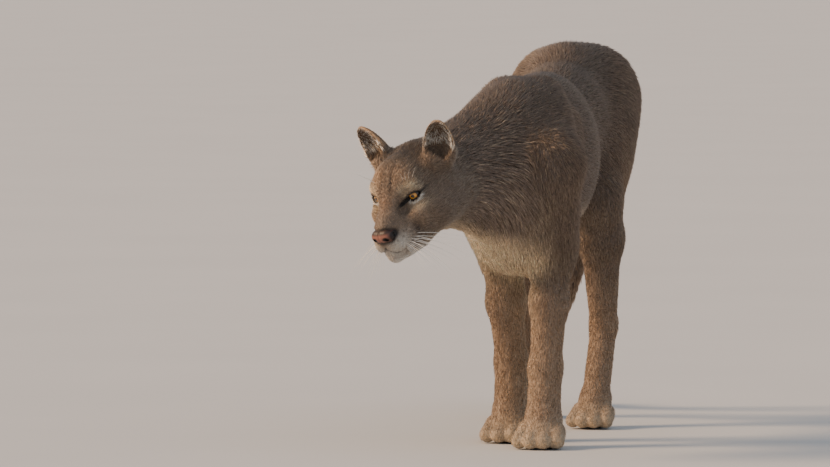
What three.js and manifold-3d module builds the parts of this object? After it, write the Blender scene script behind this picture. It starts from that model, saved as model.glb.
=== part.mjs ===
// A life-size cougar, still, walking with its head held low and turned to its right.
// Millimetres, +Z up. The animal walks towards -X, so its left side faces -Y.
// While it is modelled, x = 0 and y = 0 lie under the withers and z = 0 is the floor.
// At the end the whole group moves so that the origin is the middle of its bounding box, on the floor.
import * as THREE from "three";
import { mergeVertices } from "three/addons/utils/BufferGeometryUtils.js";
import Module from "manifold-3d";

const wasm = await Module();
wasm.setup();
const V = (x, y, z) => new THREE.Vector3(x, y, z);
const rad = THREE.MathUtils.degToRad;

// Driving dimensions of an adult cougar.
const WITHERS = 655; // height of the shoulder blades, which stand up when the head is low
const RUMP = 690; // height of the croup
const EAR_SPREAD = 60; // from the middle of the head to the root of an ear
const EAR_HEIGHT = 75;
const EAR_WIDTH = 60;
const EYE_RADIUS = 15;
const EYE_SPREAD = 35; // from the middle of the head to the middle of an eye
const TAIL_RADIUS = 25;
const GAP = 0.35; // left between neighbouring pieces

// The head's own frame: x to the nose, y to its left, z up. Its angles are degrees from straight ahead.
const HEAD = { yaw: 23, pitch: 27, roll: 6, earsAt: V(-300, 138, 524), earsX: -42, earsZ: 52 };

function headFrame({ yaw, pitch, roll, earsAt, earsX, earsZ }) {
  const level = V(-Math.cos(rad(yaw)), Math.sin(rad(yaw)), 0);
  const forward = level.multiplyScalar(Math.cos(rad(pitch))).add(V(0, 0, -Math.sin(rad(pitch))));
  const left = V(-Math.sin(rad(yaw)), -Math.cos(rad(yaw)), 0).applyAxisAngle(forward, rad(roll));
  const up = forward.clone().cross(left);
  const frame = new THREE.Matrix4().makeBasis(forward, left, up);
  return frame.setPosition(earsAt.clone().sub(V(earsX, 0, earsZ).applyMatrix4(frame)));
}
const headMatrix = headFrame(HEAD);
const onHead = (x, y, z) => V(x, y, z).applyMatrix4(headMatrix);
const headWay = (x, y, z) => V(x, y, z).transformDirection(headMatrix);

// A muscle is a cone with round ends from a to b. `soft` is how far it blends into its neighbours, and `flat`
// squeezes it from side to side. A hollow is the same shape taken away.
const muscle = (a, b, ra, rb, soft = 30, flat = 1) => ({ a, b, ra, rb, soft, flat });
const hollow = (a, b, ra, rb, soft) => ({ ...muscle(a, b, ra, rb, soft), away: true });

function muscleDistance(m, p) {
  const ay = m.a.y / m.flat;
  const [ex, ey, ez] = [m.b.x - m.a.x, m.b.y / m.flat - ay, m.b.z - m.a.z];
  const [px, py, pz] = [p.x - m.a.x, p.y / m.flat - ay, p.z - m.a.z];
  const along = (px * ex + py * ey + pz * ez) / (ex * ex + ey * ey + ez * ez);
  const t = Math.min(1, Math.max(0, along));
  return Math.hypot(px - t * ex, py - t * ey, pz - t * ez) - (m.ra + (m.rb - m.ra) * t);
}

// The distance to a list of muscles, below zero inside, where each one flows into those before it.
function flesh(muscles) {
  return (p) => {
    let d = 1e3;
    for (const m of muscles) {
      const e = m.away ? -muscleDistance(m, p) : muscleDistance(m, p);
      const h = Math.max(m.soft - Math.abs(d - e), 0) / m.soft;
      const blend = (h * h * m.soft) / 4;
      d = m.away ? Math.max(d, e) + blend : Math.min(d, e) - blend;
    }
    return d;
  };
}

// Each leg's joints, from the shoulder blade or hip down to the tip of the toes. side is -1 on the animal's left.
const FORE = {
  left: { side: -1, blade: V(14, -42, WITHERS - 34), shoulder: V(-108, -74, 500), elbow: V(20, -54, 345) },
  right: { side: 1, blade: V(30, 40, WITHERS - 40), shoulder: V(-84, 68, 492), elbow: V(62, 44, 336) },
};
Object.assign(FORE.left, { wrist: V(0, -46, 138), knuckle: V(-22, -46, 46), toe: V(-72, -44, 22) });
Object.assign(FORE.right, { wrist: V(106, 34, 140), knuckle: V(98, 34, 46), toe: V(50, 34, 22) });
const HIND = {
  left: { side: -1, hip: V(572, -43, 588), knee: V(386, -72, 418), heel: V(474, -70, 182) },
  right: { side: 1, hip: V(580, 46, 586), knee: V(474, 100, 388), heel: V(628, 114, 182) },
};
Object.assign(HIND.left, { knuckle: V(432, -62, 48), toe: V(376, -58, 21) });
Object.assign(HIND.right, { knuckle: V(632, 108, 48), toe: V(578, 106, 21) });

// The trunk: ribs, belly, loin, pelvis, brisket and the ridge of the back.
const trunk = [
  muscle(V(-20, 0, 490), V(210, 0, 494), 140, 138, 40, 0.7),
  muscle(V(210, 0, 506), V(400, 0, 536), 124, 112, 60, 0.72),
  muscle(V(400, 0, 552), V(510, 0, 574), 100, 100, 60, 0.86),
  muscle(V(520, 0, 590), V(616, 0, 574), 88, 74, 60),
  muscle(V(-132, 22, 436), V(10, 0, 372), 62, 70, 60),
  muscle(V(60, 0, 608), V(260, 0, 606), 28, 26, 50),
  muscle(V(500, 0, RUMP - 64), V(590, 0, RUMP - 78), 60, 54, 50),
];

// The tail hangs behind the hind legs, swings to the right and turns up at its blunt tip.
const tailPoints = [V(630, 0, 606), V(706, 0, 566), V(756, 8, 478), V(780, 24, 364)];
tailPoints.push(V(790, 50, 254), V(806, 88, 166), V(846, 128, 112), V(900, 156, 106));
const tailCurve = new THREE.CatmullRomCurve3(tailPoints);
const tailRadius = (t) => TAIL_RADIUS + 17 * Math.max(0, 1 - t / 0.22) ** 2 + 3 * Math.sin(Math.PI * t);
const TAIL_STEPS = 16;
const tail = Array.from({ length: TAIL_STEPS }, (_, i) => {
  const [from, to] = [i / TAIL_STEPS, (i + 1) / TAIL_STEPS];
  return muscle(tailCurve.getPointAt(from), tailCurve.getPointAt(to), tailRadius(from), tailRadius(to), 16);
});

const neck = [
  muscle(V(-20, 0, 552), V(-222, 100, 490), 88, 68, 60),
  muscle(V(-130, 22, 462), V(-228, 98, 452), 74, 58, 50),
];

// The upper part of a limb lies against the trunk, the lower part hangs free.
function foreleg(leg) {
  const mid = leg.elbow.clone().lerp(leg.wrist, 0.45);
  const back = V(56, leg.side * 12, -60);
  leg.upper = [
    muscle(leg.blade, leg.shoulder, 29, 52, 34),
    muscle(leg.blade.clone().add(back), leg.elbow.clone().add(V(10, 0, 90)), 40, 45, 40),
    muscle(leg.shoulder, leg.elbow, 56, 44, 44),
    muscle(leg.elbow.clone().add(V(14, 0, 14)), mid, 41, 34, 24),
  ];
  leg.lower = [muscle(mid, leg.wrist, 34, 29, 20), muscle(leg.wrist, leg.knuckle, 31, 32, 16)];
  leg.lower.push(...paw(leg, 1));
}

function hindleg(leg) {
  const calf = leg.knee.clone().lerp(leg.heel, 0.35).add(V(18, 0, 8));
  leg.upper = [
    muscle(leg.hip, leg.hip.clone().lerp(leg.knee, 0.5), 80, 74, 60, 0.8),
    muscle(leg.hip, leg.knee.clone().add(V(14, 0, 6)), 86, 54, 50, 0.8),
    muscle(leg.hip.clone().add(V(40, 0, -20)), calf, 62, 39, 50, 0.8),
    muscle(leg.knee, calf, 46, 40, 26),
  ];
  leg.lower = [muscle(calf, leg.heel, 39, 26, 24)];
  leg.lower.push(muscle(leg.heel.clone().add(V(6, 0, 4)), leg.knuckle, 26, 27, 14));
  leg.lower.push(...paw(leg, 0.92));
}

// Four toes side by side in front of a broad pad. `size` is 1 on a fore paw.
function paw(leg, size) {
  const ahead = leg.toe.clone().sub(leg.knuckle).setZ(0).normalize();
  const across = V(-ahead.y, ahead.x, 0);
  const spot = (forward, aside, height) =>
    leg.knuckle.clone().addScaledVector(ahead, forward).addScaledVector(across, aside).setZ(height);
  const list = [muscle(leg.knuckle, spot(20, 0, 26), 32 * size, 28 * size, 14)];
  list.push(muscle(spot(16, -18, 22), spot(16, 18, 22), 24 * size, 24 * size, 14));
  for (const place of [-1.5, -0.5, 0.5, 1.5]) {
    const forward = 46 + 10 * (1.5 - Math.abs(place)) * size;
    list.push(muscle(spot(16, place * 18 * size, 30), spot(forward, place * 22 * size, 15), 17 * size, 16 * size, 7));
  }
  return list;
}
Object.values(FORE).forEach(foreleg);
Object.values(HIND).forEach(hindleg);
const legs = [...Object.values(FORE), ...Object.values(HIND)];

// The head, in its own frame: [a, b, radius at a, radius at b, soft]. Pairs are listed for the left and mirrored.
const headMiddle = [
  [[-48, 0, 8], [2, 0, 10], 62, 54, 30],
  [[6, 0, 30], [30, 0, 16], 36, 27, 26],
  [[38, 0, 6], [94, 0, -19], 25, 17, 18],
  [[40, 0, -26], [88, 0, -40], 40, 26, 20],
  [[88, 0, -21], [102, 0, -29], 15, 13, 10],
  [[38, 0, -62], [88, 0, -70], 28, 18, 14],
  [[-80, 0, -44], [24, 0, -52], 44, 34, 30],
];
const headPairs = [
  [[-34, 46, -10], [34, 38, -20], 32, 23, 22],
  [[-66, 44, -36], [-12, 44, -36], 34, 32, 26],
  [[-30, 36, -44], [64, 14, -62], 30, 20, 20],
  [[66, 21, -42], [91, 14, -48], 20, 18, 8],
  [[14, 20, 36], [26, 38, 28], 16, 12, 14],
  [[-44, 46, 34], [-30, 54, 44], 26, 20, 20],
];
const EYE_AT = [24.5, EYE_SPREAD, 11];
const orbit = [[48, EYE_SPREAD + 6, 10], [54, EYE_SPREAD - 6, 0], 13, 8, 16];
function placed([a, b, ra, rb, soft], mirror = 1, make = muscle) {
  return make(onHead(a[0], a[1] * mirror, a[2]), onHead(b[0], b[1] * mirror, b[2]), ra, rb, soft);
}
const head = headMiddle.map((m) => placed(m));
for (const m of headPairs) head.push(placed(m, 1), placed(m, -1));
head.push(placed(orbit, 1, hollow), placed(orbit, -1, hollow));

// The closed surface where a field is zero, inside a box, whose sides close it. The box is divided into cells,
// each cell that the surface crosses gets one corner, and four cells round a crossed edge make a face.
// `grow` moves the finished corners outwards.
// Where two sheets meet at one edge, the whole grid is shifted a little and made again.
const EDGE = 0.06; // how far a corner stays from the sides of its cell, as a share of it
const SHIFTS = [0, 0.17, 0.41, 0.29, 0.53, 0.67, 0.83];
function net(field, low, high, cell, grow = 0) {
  const step = typeof cell === "number" ? V(cell, cell, cell) : cell;
  for (const shift of SHIFTS) {
    const surface = netOnce(field, low.clone().addScaledVector(step, -shift), high, step, grow);
    if (paired(surface.index.array)) return solid(surface);
  }
  throw new Error("two sheets of a surface meet at one edge");
}

// Whether each edge of a list of triangles has exactly two of them.
function paired(corners) {
  const edges = new Map();
  for (let i = 0; i < corners.length; i++) {
    const [a, b] = [corners[i], corners[i % 3 === 2 ? i - 2 : i + 1]];
    const key = a < b ? `${a},${b}` : `${b},${a}`;
    edges.set(key, (edges.get(key) ?? 0) + 1);
  }
  return [...edges.values()].every((count) => count === 2);
}

function netOnce(field, low, high, step, grow) {
  const size = ["x", "y", "z"].map((k) => Math.ceil((high[k] - low[k]) / step[k]) + 1);
  const stride = [1, size[0], size[0] * size[1]];
  const place = (i, j, k) => V(low.x + i * step.x, low.y + j * step.y, low.z + k * step.z);
  const value = new Float64Array(size[0] * size[1] * size[2]).fill(1);
  const each = (from, to, visit) => {
    for (let k = from; k < size[2] - to; k++)
      for (let j = from; j < size[1] - to; j++)
        for (let i = from; i < size[0] - to; i++) visit(i, j, k, i + j * stride[1] + k * stride[2]);
  };
  each(1, 1, (i, j, k, at) => {
    value[at] = field(place(i, j, k));
  });
  const corner = new Int32Array(value.length).fill(-1);
  const spots = [];
  each(0, 1, (i, j, k, at) => {
    const sum = V(0, 0, 0);
    let crossings = 0;
    for (let edge = 0; edge < 12; edge++) {
      const axis = edge >> 2;
      const [u, v] = [(axis + 1) % 3, (axis + 2) % 3];
      const from = [0, 0, 0];
      from[u] = edge & 1;
      from[v] = (edge >> 1) & 1;
      const a = value[at + from[0] + from[1] * stride[1] + from[2] * stride[2]];
      const b = value[at + from[0] + from[1] * stride[1] + from[2] * stride[2] + stride[axis]];
      if (a < 0 === b < 0) continue;
      from[axis] = a / (a - b);
      sum.add(place(i + from[0], j + from[1], k + from[2]));
      crossings++;
    }
    if (!crossings) return;
    corner[at] = spots.length / 3;
    const spot = settle(sum.divideScalar(crossings), field, Math.min(step.x, step.y, step.z));
    spot.clamp(place(i + EDGE, j + EDGE, k + EDGE), place(i + 1 - EDGE, j + 1 - EDGE, k + 1 - EDGE));
    if (grow) spot.addScaledVector(slopeAt(field, spot).normalize(), grow);
    spots.push(spot.x, spot.y, spot.z);
  });
  const faces = [];
  each(0, 1, (i, j, k, at) => {
    for (let axis = 0; axis < 3; axis++) {
      if ([i, j, k].some((n, other) => other !== axis && n === 0)) continue;
      if (value[at] < 0 === value[at + stride[axis]] < 0) continue;
      const [u, v] = [stride[(axis + 1) % 3], stride[(axis + 2) % 3]];
      const ring = [at - u - v, at - v, at, at - u].map((c) => corner[c]);
      if (value[at] >= 0) ring.reverse();
      faces.push(ring[0], ring[1], ring[2], ring[0], ring[2], ring[3]);
    }
  });
  const surface = new THREE.BufferGeometry().setAttribute("position", new THREE.Float32BufferAttribute(spots, 3));
  return surface.setIndex(faces);
}

// Moves a corner onto the surface along the field's slope, if it is near.
function settle(spot, field, near) {
  for (let pass = 0; pass < 2; pass++) {
    const d = field(spot);
    if (Math.abs(d) > near) return spot;
    const slope = slopeAt(field, spot);
    spot.addScaledVector(slope, -d / Math.max(slope.lengthSq(), 0.25));
  }
  return spot;
}

function slopeAt(field, spot) {
  const here = field(spot);
  const ahead = [V(1, 0, 0), V(0, 1, 0), V(0, 0, 1)].map((way) => field(way.add(spot)) - here);
  return V(...ahead);
}

function solid(geometry) {
  const plain = new THREE.BufferGeometry().setAttribute("position", geometry.attributes.position);
  if (geometry.index) plain.setIndex(geometry.index);
  const merged = mergeVertices(plain, 1e-3);
  const vertProperties = new Float32Array(merged.attributes.position.array);
  return new wasm.Manifold(new wasm.Mesh({ numProp: 3, vertProperties, triVerts: new Uint32Array(merged.index.array) }));
}

// Corners that cuts have left closer than a small distance are made one, and the triangles that this closes up
// or lays back to back are dropped. The distance is the first of the list that leaves two faces at every edge.
const SLIVERS = [0.05, 0.02, 0.1, 0.01, 0.2];
function weld(shape) {
  const mesh = shape.getMesh();
  const loose = new THREE.BufferGeometry().setAttribute("position", new THREE.BufferAttribute(mesh.vertProperties, 3));
  loose.setIndex(new THREE.BufferAttribute(mesh.triVerts, 1));
  for (const sliver of SLIVERS) {
    const joined = mergeVertices(loose, sliver);
    const faces = new Map();
    for (let i = 0; i < joined.index.count; i += 3) {
      const face = [0, 1, 2].map((k) => joined.index.getX(i + k));
      const key = [...face].sort((p, q) => p - q).join();
      if (new Set(face).size < 3 || faces.delete(key)) continue;
      faces.set(key, face);
    }
    const kept = [...faces.values()].flat();
    if (paired(kept)) return solid(joined.setIndex(kept));
  }
  return shape;
}

const largest = (s) => s.decompose().sort((a, b) => b.volume() - a.volume())[0];

// All that lies beyond a plane, as far as the animal reaches. `back` moves the plane the other way.
function beyond(at, towards, back = 0) {
  const REACH = 3000;
  const way = towards.clone().normalize();
  const box = new THREE.BoxGeometry(REACH, REACH, REACH).translate(0, 0, REACH / 2 - back);
  box.applyQuaternion(new THREE.Quaternion().setFromUnitVectors(V(0, 0, 1), way));
  return solid(box.translate(at.x, at.y, at.z));
}

const group = new THREE.Group();
function add(name, shape, colour, roughness = 0.9) {
  const mesh = largest(weld(shape)).getMesh();
  const geometry = new THREE.BufferGeometry();
  geometry.setAttribute("position", new THREE.BufferAttribute(mesh.vertProperties, 3));
  geometry.setIndex(new THREE.BufferAttribute(mesh.triVerts, 1));
  geometry.computeVertexNormals();
  const node = new THREE.Mesh(geometry, new THREE.MeshStandardMaterial({ color: colour, roughness, metalness: 0 }));
  node.name = name;
  group.add(node);
}
const line = (...points) => (points.length > 2 ? new THREE.CatmullRomCurve3(points) : new THREE.LineCurve3(...points));

const COAT = 0x8a6a52;
const PALE = 0xc9b295;
const DOWN = V(0, 0, -1);
const underFloor = beyond(V(0, 0, 0), DOWN);

// Where each limb leaves the trunk: a slanted plane inside it, and an upright one behind or in front of it.
const armpit = ({ side }, back = 0) =>
  beyond(V(20, side * 46, 350), V(-0.15, side * 0.85, -0.5), back).intersect(beyond(V(118, 0, 380), V(-0.97, 0, -0.2), back));
const groin = ({ side }, back = 0) =>
  beyond(V(450, side * 34, 430), V(0, side * 0.85, -0.53), back).intersect(beyond(V(336, 0, 440), V(0.82, 0, -0.57), back));

// Legs: an upper length, a lower length and a paw.
function limb(name, leg, root, bend, ankle, low, high) {
  const own = flesh([...leg.upper, ...leg.lower]);
  const whole = flesh([...trunk, ...leg.upper, ...leg.lower]);
  const upper = net(whole, V(low.x, low.y, bend.z - 50), high, 24).intersect(root);
  add(name + "_upper", upper.subtract(beyond(bend, DOWN, GAP)), COAT);
  const lower = net(own, V(low.x, low.y, ankle.z - 50), V(high.x, high.y, bend.z + 40), V(17, 17, 32));
  add(name + "_lower", lower.intersect(beyond(bend, DOWN)).subtract(beyond(ankle, DOWN, GAP)), COAT);
  const foot = net(own, V(low.x, low.y, -30), V(high.x, high.y, ankle.z + 30), 12.8);
  add(name + "_paw", foot.intersect(beyond(ankle, DOWN)).subtract(underFloor), COAT);
}
for (const [name, leg] of Object.entries(FORE)) {
  const bend = leg.elbow.clone().lerp(leg.wrist, 0.36);
  const reach = [V(-230, Math.min(0, leg.side) * 200 - 20, 0), V(190, Math.max(0, leg.side) * 200 + 20, 640)];
  limb("foreleg_" + name, leg, armpit(leg), bend, leg.wrist.clone().add(V(0, 0, -20)), ...reach);
}
for (const [name, leg] of Object.entries(HIND)) {
  const bend = leg.knee.clone().lerp(leg.heel, 0.18);
  const reach = [V(280, Math.min(0, leg.side) * 210 - 30, 0), V(760, Math.max(0, leg.side) * 210 + 30, 700)];
  limb("hindleg_" + name, leg, groin(leg), bend, leg.heel.clone().add(V(0, 0, -44)), ...reach);
}

// Torso and neck, parted by a plane in front of the shoulders and another behind the ears.
const body = flesh([...trunk, ...neck, ...legs.flatMap((leg) => leg.upper), ...tail, ...head]);
const NECK_ROOT = [V(-136, 30, 500), V(-0.96, 0.2, 0.12)];
const HEAD_ROOT = [onHead(-80, 0, 0), headWay(1, 0, 0.06)];
const TAIL_ROOT = [V(682, 0, 0), V(1, 0, 0)];
const withoutLegs = (shape) => {
  let rest = shape;
  for (const leg of Object.values(FORE)) rest = rest.subtract(armpit(leg, GAP));
  for (const leg of Object.values(HIND)) rest = rest.subtract(groin(leg, GAP));
  return rest;
};
const torso = net(body, V(-220, -180, 260), V(760, 180, 740), V(40, 26, 26));
add("torso", withoutLegs(torso).subtract(beyond(...NECK_ROOT, GAP)).subtract(beyond(...TAIL_ROOT, GAP)), COAT);
const neckNet = net(body, V(-380, -120, 340), V(-60, 240, 720), 21);
add("neck", withoutLegs(neckNet.intersect(beyond(...NECK_ROOT))).subtract(beyond(...HEAD_ROOT, GAP)), COAT);

// Tail in three lengths.
const tailEnds = [0.06, 0.36, 0.68, 1];
["root", "middle", "tip"].forEach((name, i) => {
  const [from, to] = [tailEnds[i], tailEnds[i + 1]];
  const field = i ? flesh(tail) : body;
  const reach = new THREE.Box3();
  for (let k = 0; k <= 8; k++) reach.expandByPoint(tailCurve.getPointAt(from + ((to - from) * k) / 8));
  reach.expandByScalar(72);
  const start = i ? [tailCurve.getPointAt(from), tailCurve.getTangentAt(from)] : TAIL_ROOT;
  let length = net(field, reach.min, reach.max, 18).intersect(beyond(...start));
  if (to < 1) length = length.subtract(beyond(tailCurve.getPointAt(to), tailCurve.getTangentAt(to), GAP));
  add("tail_" + name, length, COAT);
});

// Ears: a deep cup, open forwards, with a thick rounded rim and a blunt tip.
function ear(mirror, grow = 0) {
  const root = onHead(-44, EAR_SPREAD * mirror, 42);
  const up = headWay(0.03, 0.32 * mirror, 0.95);
  const out = headWay(0.95, 0.28 * mirror, 0.1);
  const face = out.addScaledVector(up, -out.dot(up)).normalize();
  const across = up.clone().cross(face);
  const bowl = (halfWidth, halfDepth, low, high, ahead) => {
    const shape = new THREE.SphereGeometry(1, 14, 9);
    const spots = shape.attributes.position;
    for (let i = 0; i < spots.count; i++) {
      const h = (spots.getY(i) + 1) / 2;
      const at = root.clone().addScaledVector(up, low + (high - low) * h);
      at.addScaledVector(across, spots.getX(i) * halfWidth * (1.08 - 0.26 * h));
      at.addScaledVector(face, spots.getZ(i) * halfDepth * (1.25 - 0.5 * h) + ahead);
      spots.setXYZ(i, at.x, at.y, at.z);
    }
    return solid(shape);
  };
  const cup = bowl(EAR_WIDTH / 2 + grow, 19 + grow, -24 - grow, EAR_HEIGHT + grow, 0);
  return cup.subtract(bowl(EAR_WIDTH / 2 - 4 - grow, 17 - grow, -4 + grow, EAR_HEIGHT - 4 - grow, 9 + grow));
}

// A tube of six sides along a curve.
function tube(curve, radius, steps) {
  const ring = new THREE.Shape().absarc(0, 0, radius, 0, 2 * Math.PI);
  const settings = { steps, extrudePath: curve, bevelEnabled: false, curveSegments: 3 };
  return solid(new THREE.ExtrudeGeometry(ring, settings));
}

// The point where a ray in the head's frame leaves the head, or `lift` further along it.
const headField = flesh(head);
function onFace(from, towards, lift = 0) {
  const ray = headWay(...towards);
  const spot = onHead(...from);
  for (let step = 8; step > 0.1; step /= 2)
    while (headField(spot.clone().addScaledVector(ray, step)) < 0) spot.addScaledVector(ray, step);
  return spot.addScaledVector(ray, lift);
}

// Eyes sit deep under the brow. The lids follow the ball from the inner corner to the outer one.
function eyeParts(mirror) {
  const centre = onHead(EYE_AT[0], EYE_AT[1] * mirror, EYE_AT[2]);
  const gaze = headWay(1, 0.3 * mirror, 0.02);
  const outward = headWay(-0.3, mirror, 0);
  const up = headWay(0, 0, 1);
  const ball = (radius) => solid(new THREE.SphereGeometry(radius, 12, 8).translate(centre.x, centre.y, centre.z));
  const rim = (across, above, ahead) => {
    const ray = gaze.clone().multiplyScalar(ahead).addScaledVector(outward, across).addScaledVector(up, above);
    return centre.clone().addScaledVector(ray.normalize(), EYE_RADIUS + 1);
  };
  const upper = line(rim(-0.95, -0.45, 0.7), rim(-0.45, 0.4, 1), rim(0.3, 0.56, 1), rim(0.95, 0.3, 0.6));
  const lower = line(rim(-0.95, -0.45, 0.7), rim(-0.35, -0.5, 1), rim(0.4, -0.42, 1), rim(0.95, 0.3, 0.6));
  return { ball: ball(EYE_RADIUS), socket: ball(EYE_RADIUS + GAP), lids: tube(upper, 3.4, 7).add(tube(lower, 3, 7)) };
}

// The nose leather, with a nostril each side.
const NOSE = [
  [[105, -9, -25], [105, 9, -25], 10, 10, 6],
  [[94, 16, -28], [102, 14, -30], 7, 8, 8],
  [[94, -16, -28], [102, -14, -30], 7, 8, 8],
  [[106, 0, -29], [103, 0, -43], 9, 5, 8],
];
const noseField = flesh(NOSE.map((m) => placed(m)));
const noseBox = new THREE.Box3().setFromCenterAndSize(onHead(100, 0, -31), V(76, 76, 76));
const noseNet = (grow) => net(noseField, noseBox.min, noseBox.max, 6.2, grow);
let nose = noseNet(0);
for (const mirror of [1, -1]) {
  const nostril = line(onHead(120, 6 * mirror, -29), onHead(105, 12 * mirror, -28), onHead(96, 24 * mirror, -24));
  nose = nose.subtract(tube(nostril, 3.2, 4));
}

// Head: the lids are joined to it, and the eyes, the nose, the line of the mouth and the lip's cleft are cut in.
const headBox = new THREE.Box3();
for (const x of [-130, 145]) for (const y of [-100, 100]) for (const z of [-110, 90]) headBox.expandByPoint(onHead(x, y, z));
const eyes = { left: eyeParts(1), right: eyeParts(-1) };
let skull = net(flesh([...neck, ...head]), headBox.min, headBox.max, 12).intersect(beyond(...HEAD_ROOT));
for (const { lids } of Object.values(eyes)) skull = skull.add(lids);
skull = skull.subtract(noseNet(GAP));
const MOUTH_FROM = [54, 0, -38];
const LIP_TURNS = [[0.94, 0, -0.5], [0.9, 0.14, -0.64], [0.8, 0.5, -0.58], [0.55, 0.85, -0.48], [0.32, 1, -0.42]];
for (const mirror of [1, -1]) {
  const lip = line(...LIP_TURNS.map(([x, y, z]) => onFace(MOUTH_FROM, [x, y * mirror, z], -0.5)));
  skull = skull.subtract(tube(lip, 2.2, 10));
}
skull = skull.subtract(tube(line(onHead(106, 0, -41), onFace(MOUTH_FROM, LIP_TURNS[0], -0.5)), 2, 2));
for (const { socket } of Object.values(eyes)) skull = skull.subtract(socket);
for (const mirror of [1, -1]) skull = skull.subtract(ear(mirror, GAP));
add("head", skull, COAT);
add("nose", nose, 0x9c5f4c, 0.5);
for (const [side, { ball }] of Object.entries(eyes)) add("eye_" + side, ball, 0xb07a2c, 0.1);
for (const [side, mirror] of [["left", 1], ["right", -1]]) add("ear_" + side, ear(mirror), PALE);

// The origin is the middle of the bounding box, on the floor.
const box = new THREE.Box3().setFromObject(group);
group.position.set(-(box.min.x + box.max.x) / 2, -(box.min.y + box.max.y) / 2, -box.min.z);
export default group;
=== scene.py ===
# %% [markdown]
# # A life-size cougar, walking with its head held low
# The frame holds the animal's solids at their real size. Here they get one skin, a coat of tufts, eyes,
# nose leather, whiskers, a pale floor and soft light. Lengths are in millimetres in the animal's own frame
# until a mesh is made: x = 0 and y = 0 lie under the withers, -X is the way it walks, and z = 0 is the floor.

# %% The frame and the numbers
import math
import bmesh
import bpy
import numpy as np
from mathutils import Matrix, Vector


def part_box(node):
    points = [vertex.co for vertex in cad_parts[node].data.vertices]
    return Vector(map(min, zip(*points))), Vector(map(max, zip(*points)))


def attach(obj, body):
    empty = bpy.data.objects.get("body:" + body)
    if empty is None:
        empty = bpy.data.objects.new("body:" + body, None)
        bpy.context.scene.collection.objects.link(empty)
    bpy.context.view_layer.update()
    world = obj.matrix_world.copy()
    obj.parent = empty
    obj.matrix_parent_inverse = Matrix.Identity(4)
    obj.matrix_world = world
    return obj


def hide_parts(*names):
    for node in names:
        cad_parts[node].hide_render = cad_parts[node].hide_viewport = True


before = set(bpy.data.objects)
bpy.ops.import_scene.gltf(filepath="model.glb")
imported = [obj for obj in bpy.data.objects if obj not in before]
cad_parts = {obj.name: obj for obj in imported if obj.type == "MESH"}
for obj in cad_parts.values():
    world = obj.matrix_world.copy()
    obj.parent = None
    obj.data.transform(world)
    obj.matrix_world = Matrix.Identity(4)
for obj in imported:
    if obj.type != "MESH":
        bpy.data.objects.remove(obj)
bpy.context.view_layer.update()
rng = np.random.default_rng(7)
MM = 0.001

# %% [markdown]
# ## The head's frame
# The head is turned to the animal's right, tipped down and leaned a little. Everything on the head is easier
# to place in a frame of its own, with x to the nose, y to its left and z up, so three angles make that frame
# once.

# %% The head's frame
YAW, PITCH, ROLL = (math.radians(angle) for angle in (23, 27, 6))
forward = np.array([-math.cos(YAW) * math.cos(PITCH), math.sin(YAW) * math.cos(PITCH), -math.sin(PITCH)])
level_left = np.array([-math.sin(YAW), -math.cos(YAW), 0.0])
left = level_left * math.cos(ROLL) + np.cross(forward, level_left) * math.sin(ROLL)
HEAD_AXES = np.array([forward, left, np.cross(forward, left)])
CROWN_ON_HEAD = np.array([-42.0, 0, 52.0])
CROWN_AT = np.array([-300.0, 138.0, 524.0])
HEAD_AT = CROWN_AT - CROWN_ON_HEAD @ HEAD_AXES


def on_head(points):
    """Points of the head's frame in the animal's frame."""
    return np.asarray(points, float) @ HEAD_AXES + HEAD_AT


def head_way(way):
    """A unit direction of the head's frame in the animal's frame."""
    turned = np.asarray(way, float) @ HEAD_AXES
    return turned / np.linalg.norm(turned)


def in_head(points):
    """Points of the animal's frame in the head's frame."""
    return (np.asarray(points, float) - HEAD_AT) @ HEAD_AXES.T


EYE_RADIUS = 15.0
EYE_AT = np.array([24.5, 35.0, 11.0])
eye_low, eye_high = (np.array(corner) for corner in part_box("eye_left"))
SHIFT = (eye_low + eye_high) / 2 / MM - on_head(EYE_AT)
print("the animal's frame is shifted by", SHIFT.round(1), "mm")

# %% [markdown]
# ## The flesh
# A body is muscles over bone, and each flows into the next. One could sculpt it by hand, but a cone with
# round ends for each muscle, joined by a soft minimum, keeps the real bones and sizes in view and matches
# the solids. A muscle is a, b, the radii at both, how far it blends, and how much it is squeezed from side
# to side. Each one also says which part of the body it is and which way its hair lies.

# %% Muscles
MUSCLES = []


def muscle(part, a, b, ra, rb, soft=30, flat=1.0, lie=None, away=False):
    """Keeps one muscle. One that is `away` is a hollow, taken out of the others."""
    a, b = np.asarray(a, float), np.asarray(b, float)
    way = (b - a) if lie is None else np.asarray(lie, float)
    MUSCLES.append(dict(part=part, a=a, b=b, ra=ra, rb=rb, soft=soft, flat=flat, away=away,
                        lie=way / max(np.linalg.norm(way), 1e-9)))


WITHERS, RUMP, TAIL_RADIUS = 655, 690, 25
BACKWARDS = (1, 0, -0.16)
for row in [
    ("trunk", (-20, 0, 490), (210, 0, 494), 140, 138, 40, 0.7, BACKWARDS),
    ("trunk", (210, 0, 506), (400, 0, 536), 124, 112, 60, 0.72, BACKWARDS),
    ("trunk", (400, 0, 552), (510, 0, 574), 100, 100, 60, 0.86, BACKWARDS),
    ("trunk", (520, 0, 590), (616, 0, 574), 88, 74, 60, 1, (1, 0, -0.4)),
    ("chest", (-132, 22, 436), (10, 0, 372), 62, 70, 60, 1, (0.5, 0, -1)),
    ("trunk", (60, 0, 608), (260, 0, 606), 28, 26, 50, 1, BACKWARDS),
    ("trunk", (500, 0, RUMP - 64), (590, 0, RUMP - 78), 60, 54, 50, 1, BACKWARDS),
    ("neck", (-20, 0, 552), (-222, 100, 490), 88, 68, 60, 1, (1, -0.4, -0.1)),
    ("chest", (-130, 22, 462), (-228, 98, 452), 74, 58, 50, 1, (0.8, -0.3, -0.7)),
]:
    muscle(*row)


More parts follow.
